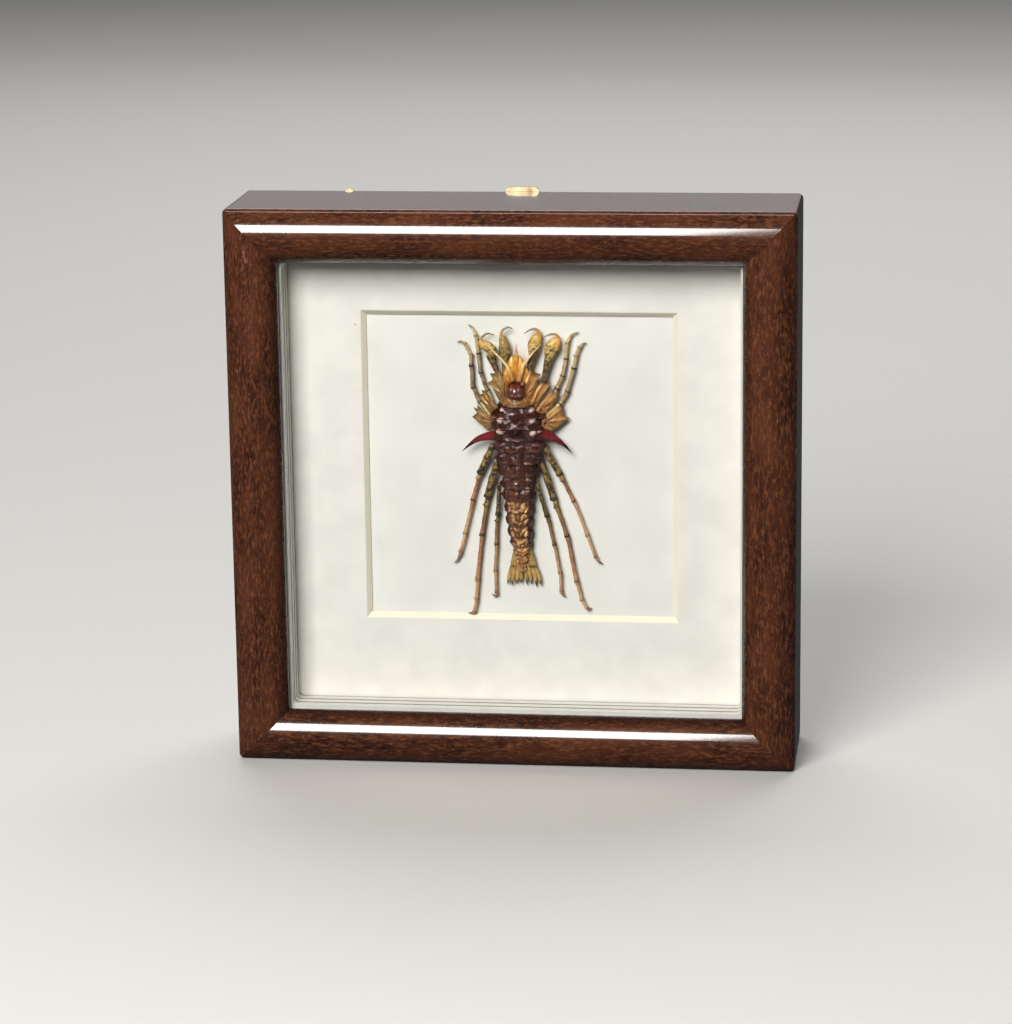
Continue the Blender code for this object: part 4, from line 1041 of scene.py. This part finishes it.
def trunk_marks(x, z, degrees, share, rough, fine, knobs, hollow, bright):
    """How brown, gold, tan and crimson the trunk is at each point, and where it gets painted highlights and
    painted shade.
    """
    away = np.abs(degrees)
    off = np.abs(x - MIDLINE)
    centre = smoothstep(62, 40, away)
    hind = smoothstep(-3.0, -5.5, z)
    last = smoothstep(-16.5, -18.5, z)
    warm = smoothstep(7.0, -2.0, z) * centre * (0.35 + 0.5 * rough)
    rim = smoothstep(0.55, 0.8, share) * smoothstep(0.98, 0.9, share) * centre
    rim = rim * smoothstep(0.0, 0.35, fine + rough) * smoothstep(16, 11, z) * (1 - hind)
    brown = np.maximum(hind * np.maximum(0.9 * centre, last), np.maximum(warm, 0.8 * rim))
    collar = smoothstep(20.7, 21.1, z - 0.05 * (x - 0.6) ** 2) * smoothstep(5.2, 4.4, off)
    # Painted highlights: glints on the tops of the big knobs, and a lit rim on the collar just under the head
    glint = 0.95 * smoothstep(0.50, 0.95, knobs + 0.3 * fine) * smoothstep(1.6, 2.6, off) * (z > 12.5)
    glint = glint * smoothstep(6.3, 4.6, off)
    round_head = np.hypot((x - HEAD[0]) / HEAD_RADII[0], (z - HEAD[1]) / HEAD_RADII[1])
    rim_light = 0.2 * np.exp(-((round_head - 1.22) / 0.1) ** 2) * (z < HEAD[1]) * collar
    crimson = 0.5 * smoothstep(0.3, 1.3, knobs) * smoothstep(2.0, 5.0, off)
    # Painted shade: in the hollow across the back, in the grooves at both edges of each ring and on the lower
    # flanks
    groove = smoothstep(0.86, 0.97, share) * 0.6 + smoothstep(0.06, 0.0, share) * 0.6
    black_and_shade = (0.85 * hollow * smoothstep(0.5, 0.1, knobs) + groove * (1 - collar) * front_body(z)
             + 0.35 * smoothstep(70, 100, away))
    return {
        "brown": np.clip(brown, 0, 1),
        "gold": np.clip(hind * bright * (0.85 + 0.6 * rough) + 0.3 * last, 0, 1),
        "tan": np.clip(collar * (0.85 + 0.4 * fine), 0, 1),
        "pale": np.clip(glint + rim_light, 0, 1),
        "crimson": np.clip(crimson, 0, 1) * (z > 10),
        "black_and_shade": np.clip(black_and_shade, 0, 1),
    }


def add_shell(name, grids, finish, sharp=180.0):
    """One new piece of the animal, in place of the solid amphipod."""
    add_piece(name, grids, finish, ("amphipod",), sharp)


class SPECIMEN_OT_trunk(bpy.types.Operator):
    """The trunk: overlapping rings on an egg-shaped section, raised by knobs in front and scales behind."""
    bl_idname = "specimen.trunk"
    bl_label = "Trunk"

    def execute(self, context):
        base, x, z, turn, degrees, share = trunk_grid()
        rough = noise(base / MM, 1.3, 11)
        fine = noise(base / MM, 0.5, 12)
        lift, *forms = trunk_relief(x, z, degrees, share, rough, fine)
        out = np.stack([np.cos(turn) * np.ones_like(x), -np.sin(turn) * np.ones_like(x), 0 * x], axis=-1)
        place = base + lift[..., None] * out * MM
        place[0] = place[0].mean(axis=0)
        place[-1] = place[-1].mean(axis=0)
        marks = trunk_marks(x, z, degrees, share, rough, fine, *forms)
        add_shell("trunk", [(place, True, marks)], dark_shell())
        return {"FINISHED"}


def head_grids():
    """The globe of the head with its painted glints, and the two eyes."""
    globe = ball(HEAD, HEAD_RADII, 70, 100)
    x = globe[..., 0] / MM - TRUNK_OFFSET[0]
    z = (globe[..., 2] - CENTRE_Z) / MM - TRUNK_OFFSET[1]
    # Painted glints: pale spots on the front of the globe
    glints = sum(np.exp(-(np.hypot(x - gx, z - gz) / reach) ** 2) for gx, gz, reach in GLINTS)
    glints = np.clip(0.8 * glints, 0, 0.8) * (globe[..., 1] < BOARD_Y - HEAD[2] * MM)
    grids = [(roughened(globe, 0.04, 0.9, 21), True, {"tan": 0.0, "pale": glints})]
    for eye in EYES:
        grids.append((ball(eye, (EYE_RADIUS,) * 3, 16, 24), True, {"tan": 0.9, "pale": 0.0}))
    return grids


def horn_grids():
    """The two horns, crimson from their roots and darkening towards their tips, with painted shade along
    their flanks.
    """
    grids = []
    for rows in HORNS:
        path = rounded_path(rows, 18)
        share = np.linspace(0, 1, len(path))
        place = path_tube(path, path[:, 3] * closed_ends(share, 0.01), TRUNK_OFFSET, 24, 0.8, 0.35)
        # Dark towards the tips, and painted shade along the flanks
        black_and_shade = np.clip(smoothstep(0.45, 0.9, share)[:, None] + 0.5 * flanks(24, 4), 0, 1)
        marks = {"brown": 0.0, "gold": 0.0, "tan": 0.0, "pale": 0.0, "black_and_shade": black_and_shade,
                 "crimson": smoothstep(0.05, 0.25, share)[:, None]}
        grids.append((roughened(place, 0.06, 0.8, 22), True, marks))
    return grids


def mouth_grids():
    """The beak, the orange leaves beside it and the two antennae."""
    grids = []
    for index, (rows, pale, pink) in enumerate(MOUTH):
        path = rounded_path(rows, 18)
        share = np.linspace(0, 1, len(path))
        radii = np.clip(path[:, 3], 0.04, None) * closed_ends(share, 0.02)
        place = roughened(path_tube(path, radii, TRUNK_OFFSET, 20, 0.7, 0.3), 0.06, 0.7, 23 + index)
        # Painted shade darkens the flanks of each leaf and antenna
        marks = limb_marks(
            place.shape[:2], station=share[:, None], flank=0.55 * flanks(20, 3), dark=max(-pale, 0.0),
            pale=(max(pale, 0) * (0.35 + 0.65 * smoothstep(0.3, 0.6, share)))[:, None],
            pink=(pink * smoothstep(0.62, 0.85, share))[:, None])
        grids.append((place, True, marks))
    return grids


class SPECIMEN_OT_head(bpy.types.Operator):
    """Head, eyes, horns, beak, antennae and the orange leaves between them."""
    bl_idname = "specimen.head"
    bl_label = "Head and horns"

    def execute(self, context):
        add_shell("head", head_grids(), head_shell())
        add_shell("horns", horn_grids(), dark_shell())
        add_shell("mouth_parts", mouth_grids(), limb_shell("mouth_shell"))
        return {"FINISHED"}


def plate_surface(outline, olive):
    """A thin toothed plate: rays from its root to each point of its edge and back beneath, sloping down
    outward, bowed along each ray and fluted from ray to ray."""
    corners = np.array(outline, float)
    following = np.roll(corners, -1, axis=0)
    share = np.linspace(0, 1, 10, endpoint=False)[None, :, None]
    edge = (corners[:, None] + (following - corners)[:, None] * share).reshape(-1, 2)
    root = 0.36 * (corners[0] + corners[-1]) + 0.28 * corners.mean(axis=0)
    out = np.concatenate([np.linspace(0, 1, PLATE_ROWS), np.linspace(1, 0, PLATE_ROWS // 2)[1:]])
    upper = (np.arange(len(out)) < PLATE_ROWS)[None, :]
    flat = root + (edge[:, None] - root) * out[None, :, None]
    inner = np.abs(corners[:, 0]).min()
    facing = np.arctan2(*(edge - root).T)[:, None]
    flute = 0.5 + 0.5 * np.sin(facing * 11)
    rim = PLATE_THICK * np.sqrt(np.clip(1 - out, 0, 1))[None, :]
    height = PLATE_ROOT_HEIGHT - PLATE_SLOPE * (np.abs(flat[..., 0]) - inner) - PLATE_THICK / 2
    height = height + 0.45 * np.sin(np.pi * out)[None, :] + np.where(
        upper, rim + 0.22 * flute * np.sin(np.pi * out)[None, :], -rim)
    place = roughened(at(flat[..., 0], flat[..., 1], height), 0.07, 0.9, 31)
    away = np.linalg.norm(edge - 0.5 * (corners[0] + corners[-1]), axis=1)[:, None]
    tooth = smoothstep(0.78, 1.0, out)[None, :] * smoothstep(0.62, 0.95, away / away.max())
    # Paler on the flute crests of the right plates, and painted shade in the troughs between the flutes
    pale = 0.35 * smoothstep(0.75, 1.0, flute) * (1 - olive) * smoothstep(0.2, 0.6, out)[None, :]
    marks = limb_marks(flat.shape[:2], station=out[None, :], dark=0.75 * tooth, olive=0.6 * olive, pale=pale,
                       flank=0.55 * (1 - flute) * smoothstep(0.1, 0.4, out)[None, :])
    return np.swapaxes(place, 0, 1), {key: value.T for key, value in marks.items()}


class SPECIMEN_OT_plates(bpy.types.Operator):
    """The toothed side plates round the front of the trunk."""
    bl_idname = "specimen.plates"
    bl_label = "Side plates"

    def execute(self, context):
        grids = []
        for name, outline in PLATES.items():
            place, marks = plate_surface(outline, float(name.startswith("left")))
            grids.append((place, True, marks))
        add_shell("side_plates", grids, limb_shell("plate_shell"), sharp=50)
        return {"FINISHED"}


def article_shape(share):
    """Radius along one article of a leg: narrow behind its root, swollen before its far joint."""
    return (0.84 + 0.10 * np.exp(-((share - 0.04) / 0.05) ** 2) + 0.30 * np.exp(-((share - 0.95) / 0.05) ** 2)
            + 0.05 * np.sin(share * 17)) * closed_ends(share, 0.03)


def spine(root, tip, radius=0.1):
    """A short straight bristle from root to tip, both in metres."""
    share = np.linspace(0, 1, 5)[:, None]
    radii = radius * MM * (1 - share[:, 0]) * closed_ends(share[:, 0], 0.02)
    return tube(root + (tip - root) * share, radii, 6)


def leg_grids(joints, radii, claw, seed, olive, light):
    """One walking leg: an article between each two joints, bristles at each joint, and a curved claw. The
    value station runs from 0 at the trunk to 1 at the claw's tip."""
    heights = [LEG_ROOT_HEIGHT] + [LEG_HEIGHT] * (len(joints) - 1)
    keys = [at(x, z, h, LIMB_OFFSET) for (x, z), h in zip(joints, heights)]
    share = 0.5 - 0.5 * np.cos(np.pi * np.linspace(0, 1, 34))
    ridge = smoothstep(0.2, 0.8, np.sin(turns(LEG_SIDES)))[None, :]
    draw = np.random.default_rng(seed)
    count = len(radii)
    grids = []
    for i, radius in enumerate(radii):
        start, end = keys[i], keys[i + 1]
        along = (end - start) / np.linalg.norm(end - start)
        side = np.cross(along, (0.0, 1.0, 0.0))
        reach = 0.25 * radius * MM
        centres = start - along * reach + (end - start + 2 * along * reach) * share[:, None]
        centres = centres + side * (0.10 * radius * MM * np.sin(np.pi * share + draw.uniform(0, 3)))[:, None]
        shape = article_shape(share)
        if i == 0 and radius > 0.9:
            shape = shape * (0.92 + 0.25 * np.sin(np.pi * share) ** 0.8)
        place = roughened(tube(centres, radius * shape * MM, LEG_SIDES, 0.86), 0.05, 0.7, seed)
        station = (i + share) / (count + 0.6)
        dark = smoothstep(0.86, 0.93, share) * (1.0 if i < 3 else 0.5)
        spot = np.exp(-((share - 0.16) / 0.08) ** 2)[:, None] * ridge
        # Painted shade darkens the flanks of each article
        marks = limb_marks(
            place.shape[:2], station=station[:, None], dark=dark[:, None], flank=flanks(LEG_SIDES, 3),
            olive=olive * (1 - i / count), pale=np.maximum(light, 0.85 * spot * (1 <= i <= 2)))
        grids.append((place, True, marks))
        for sign in (-1, 1):
            root = end - along * draw.uniform(0.1, 0.5) * MM + side * sign * radius * 0.9 * MM
            tip = root + (along * draw.uniform(0.3, 0.7) + side * sign * draw.uniform(0.1, 0.4)) * MM
            place = spine(root, tip, 0.12)
            grids.append((place, True, limb_marks(place.shape[:2], station=station[-1], dark=0.7)))
    last = [(*joints[-1], LEG_HEIGHT)] + [(x, z, CLAW_HEIGHT) for x, z in claw]
    path = rounded_path(last, 12)
    share = np.linspace(0, 1, len(path))
    taper = radii[-1] * (0.9 * (1 - share) ** 0.7 + 0.02) * closed_ends(share, 0.03)
    place = path_tube(path, taper, LIMB_OFFSET, 12)
    station = (count + 0.6 * share) / (count + 0.6)
    marks = limb_marks(place.shape[:2], station=station[:, None],
                       dark=0.4 * smoothstep(0.3, 1, share)[:, None])
    grids.append((place, True, marks))
    return grids


class SPECIMEN_OT_legs(bpy.types.Operator):
    """The ten walking legs, six behind and four in front."""
    bl_idname = "specimen.legs"
    bl_label = "Walking legs"

    def execute(self, context):
        fore, hind = [], []
        for index, (name, (joints, radii, claw)) in enumerate(LEGS.items()):
            chosen = fore if name[-1] in "34" else hind
            olive = LEG_OLIVE.get(name[-1], 0.0)
            light = 0.35 if chosen is fore and name.startswith("right") else 0.0
            chosen.extend(leg_grids(joints, radii, claw, 40 + index, olive, light))
        add_shell("fore_legs", fore, limb_shell("fore_leg_shell"))
        add_shell("hind_legs", hind, limb_shell("hind_leg_shell"))
        return {"FINISHED"}


class SPECIMEN_OT_hands(bpy.types.Operator):
    """The four grasping limbs: arm, leaf-shaped hand with a keel, and hooked finger."""
    bl_idname = "specimen.hands"
    bl_label = "Grasping limbs"

    def execute(self, context):
        grids = []
        for index, (name, limb) in enumerate(HANDS.items()):
            for rows, (flat, ridge, ends, first, run, flank) in zip(limb, HAND_PARTS):
                path = rounded_path([(x, z, HAND_HEIGHT, radius) for x, z, radius in rows], 20)
                share = np.linspace(0, 1, len(path))
                radii = path[:, 3] * closed_ends(share, ends)
                place = roughened(path_tube(path, radii, LIMB_OFFSET, 24, flat, ridge), 0.06, 0.7, 60 + index)
                olive = 0.0 if rows is limb[-1] else HAND_OLIVE[name]
                # Painted shade darkens the flanks of arm, hand and finger
                marks = limb_marks(place.shape[:2], station=(first + run * share)[:, None], olive=olive,
                                   flank=flank * flanks(24, 5))
                grids.append((place, True, marks))
        add_shell("grasping_limbs", grids, limb_shell("hand_shell"))
        return {"FINISHED"}


class SPECIMEN_OT_tail(bpy.types.Operator):
    """The tail fan: flat blades spread from the last segments, each with a keel and a dark tip."""
    bl_idname = "specimen.tail"
    bl_label = "Tail fan"

    def execute(self, context):
        grids = []
        for index, tip in enumerate(TAIL_TIPS):
            root_x = TAIL_ROOT[0] + TAIL_ROOT_SPREAD * (tip[0] - TAIL_ROOT[0])
            joint_x = root_x + 0.45 * (tip[0] - root_x)
            rows = ((root_x, TAIL_ROOT[1], 1.9, 0.42), (joint_x, TAIL_JOINT_Z, 1.6, 0.54),
                    (0.35 * joint_x + 0.65 * tip[0], TAIL_JOINT_Z - 3.4, 1.4, 0.5), (*tip, 1.1, 0.04))
            path = rounded_path(rows, 18)
            path[:, 2] += 0.15 * (index % 2)
            share = np.linspace(0, 1, len(path))
            radii = np.clip(path[:, 3], 0.03, None) * closed_ends(share, 0.02)
            radii *= 1 - 0.25 * np.exp(-((share - 0.36) / 0.03) ** 2)
            place = roughened(path_tube(path, radii, TRUNK_OFFSET, 18, 0.42, 0.3), 0.05, 0.6, 80 + index)
            outer = 0.9 if index in (0, 1, 6, 7) else 0.18
            joint = outer * np.exp(-((share - 0.37) / 0.02) ** 2)
            dark = np.maximum(0.95 * smoothstep(0.70, 0.86, share), joint)
            # Painted shade darkens the flanks of each blade
            marks = limb_marks(place.shape[:2], station=share[:, None], dark=dark[:, None],
                               flank=flanks(18, 3), olive=0.3 if index in (3, 4) else 0.0)
            grids.append((place, True, marks))
        add_shell("tail_fan", grids, limb_shell("tail_shell"))
        return {"FINISHED"}


class SPECIMEN_OT_stage(bpy.types.Operator):
    """Pale floor, soft lights and the camera."""
    bl_idname = "specimen.stage"
    bl_label = "Stage"

    def execute(self, context):
        scene = context.scene
        chosen = settings("stage")
        corners = [(x * FLOOR_REACH, y * FLOOR_REACH, 0) for x, y in ((-1, -1), (1, -1), (1, 1), (-1, 1))]
        floor_mesh = bpy.data.meshes.new("floor")
        floor_mesh.from_pydata(corners, [], [(0, 1, 2, 3)])
        floor = bpy.data.objects.new("floor", floor_mesh)
        scene.collection.objects.link(floor)
        made, tree, shader = new_material("pale_floor", 0.7)
        shader.inputs["Base Color"].default_value = (*chosen.floor, 1.0)
        floor_mesh.materials.append(made)
        floor.visible_glossy = False
        floor.visible_diffuse = False

        world = bpy.data.worlds.new("surround")
        scene.world = world
        world.use_nodes = True
        back = world.node_tree.nodes["Background"]
        back.inputs[0].default_value = SURROUND
        back.inputs[1].default_value = chosen.fill

        lamps = {name: self.lamp(name, *values) for name, values in LAMPS.items()}
        lamps["key"].visible_glossy = False
        lamps["gloss"].visible_diffuse = False

        eye = bpy.data.cameras.new("camera")
        eye.sensor_width = 36.0
        eye.lens = chosen.lens
        eye.clip_start = 0.01
        camera = bpy.data.objects.new("camera", eye)
        scene.collection.objects.link(camera)
        camera.location = Vector((0, FRONT_ARRIS_Y, CENTRE_Z)) + Vector(CAMERA_PLACE)
        roll = Quaternion((0, 0, 1), math.radians(CAMERA_ROLL))
        camera.rotation_euler = (Vector(CAMERA_AHEAD).to_track_quat("-Z", "Y") @ roll).to_euler()
        scene.camera = camera
        scene.view_settings.view_transform = "Standard"
        return {"FINISHED"}

    def lamp(self, name, azimuth, elevation, distance, size, power, colour):
        """An area light at that azimuth (0 in front, positive to the right) and elevation, facing the mat."""
        light = bpy.data.lights.new(name, "AREA")
        light.shape = "RECTANGLE"
        light.size, light.size_y = size
        light.energy = power * settings("stage").key_watts
        light.color = colour
        thing = bpy.data.objects.new(name, light)
        bpy.context.scene.collection.objects.link(thing)
        turn, lift = math.radians(azimuth), math.radians(elevation)
        away = Vector((math.sin(turn) * math.cos(lift), -math.cos(turn) * math.cos(lift), math.sin(lift)))
        thing.location = Vector((0, 0, CENTRE_Z)) + distance * away
        thing.rotation_euler = (-away).to_track_quat("-Z", "Y").to_euler()
        return thing


class SPECIMEN_PT_panel(bpy.types.Panel):
    """Buttons for each group of pieces, with their sizes and colours."""
    bl_idname = "SPECIMEN_PT_panel"
    bl_label = "Framed amphipod"
    bl_space_type = "VIEW_3D"
    bl_region_type = "UI"
    bl_category = "Specimen"

    def draw(self, context):
        for name, group in SETTINGS.items():
            box = self.layout.box()
            box.label(text=group.__doc__)
            for key in group.__annotations__:
                box.prop(settings(name), key)
        for operator in OPERATORS:
            self.layout.operator(operator.bl_idname)


SETTINGS = {"moulding": MouldingSettings, "boards": BoardSettings, "shell": ShellSettings,
            "stage": StageSettings}
OPERATORS = (SPECIMEN_OT_moulding, SPECIMEN_OT_boards, SPECIMEN_OT_trunk, SPECIMEN_OT_head,
             SPECIMEN_OT_plates, SPECIMEN_OT_legs, SPECIMEN_OT_hands, SPECIMEN_OT_tail, SPECIMEN_OT_stage)


def register():
    for kind in (*SETTINGS.values(), *OPERATORS, SPECIMEN_PT_panel):
        bpy.utils.register_class(kind)
    for name, group in SETTINGS.items():
        setattr(bpy.types.Scene, "specimen_" + name, bpy.props.PointerProperty(type=group))


def unregister():
    for name in SETTINGS:
        delattr(bpy.types.Scene, "specimen_" + name)
    for kind in reversed((*SETTINGS.values(), *OPERATORS, SPECIMEN_PT_panel)):
        bpy.utils.unregister_class(kind)


def main():
    register()
    for operator in OPERATORS:
        getattr(bpy.ops.specimen, operator.bl_idname.split(".")[1])()
    bpy.context.view_layer.update()


if __name__ == "__main__":
    main()
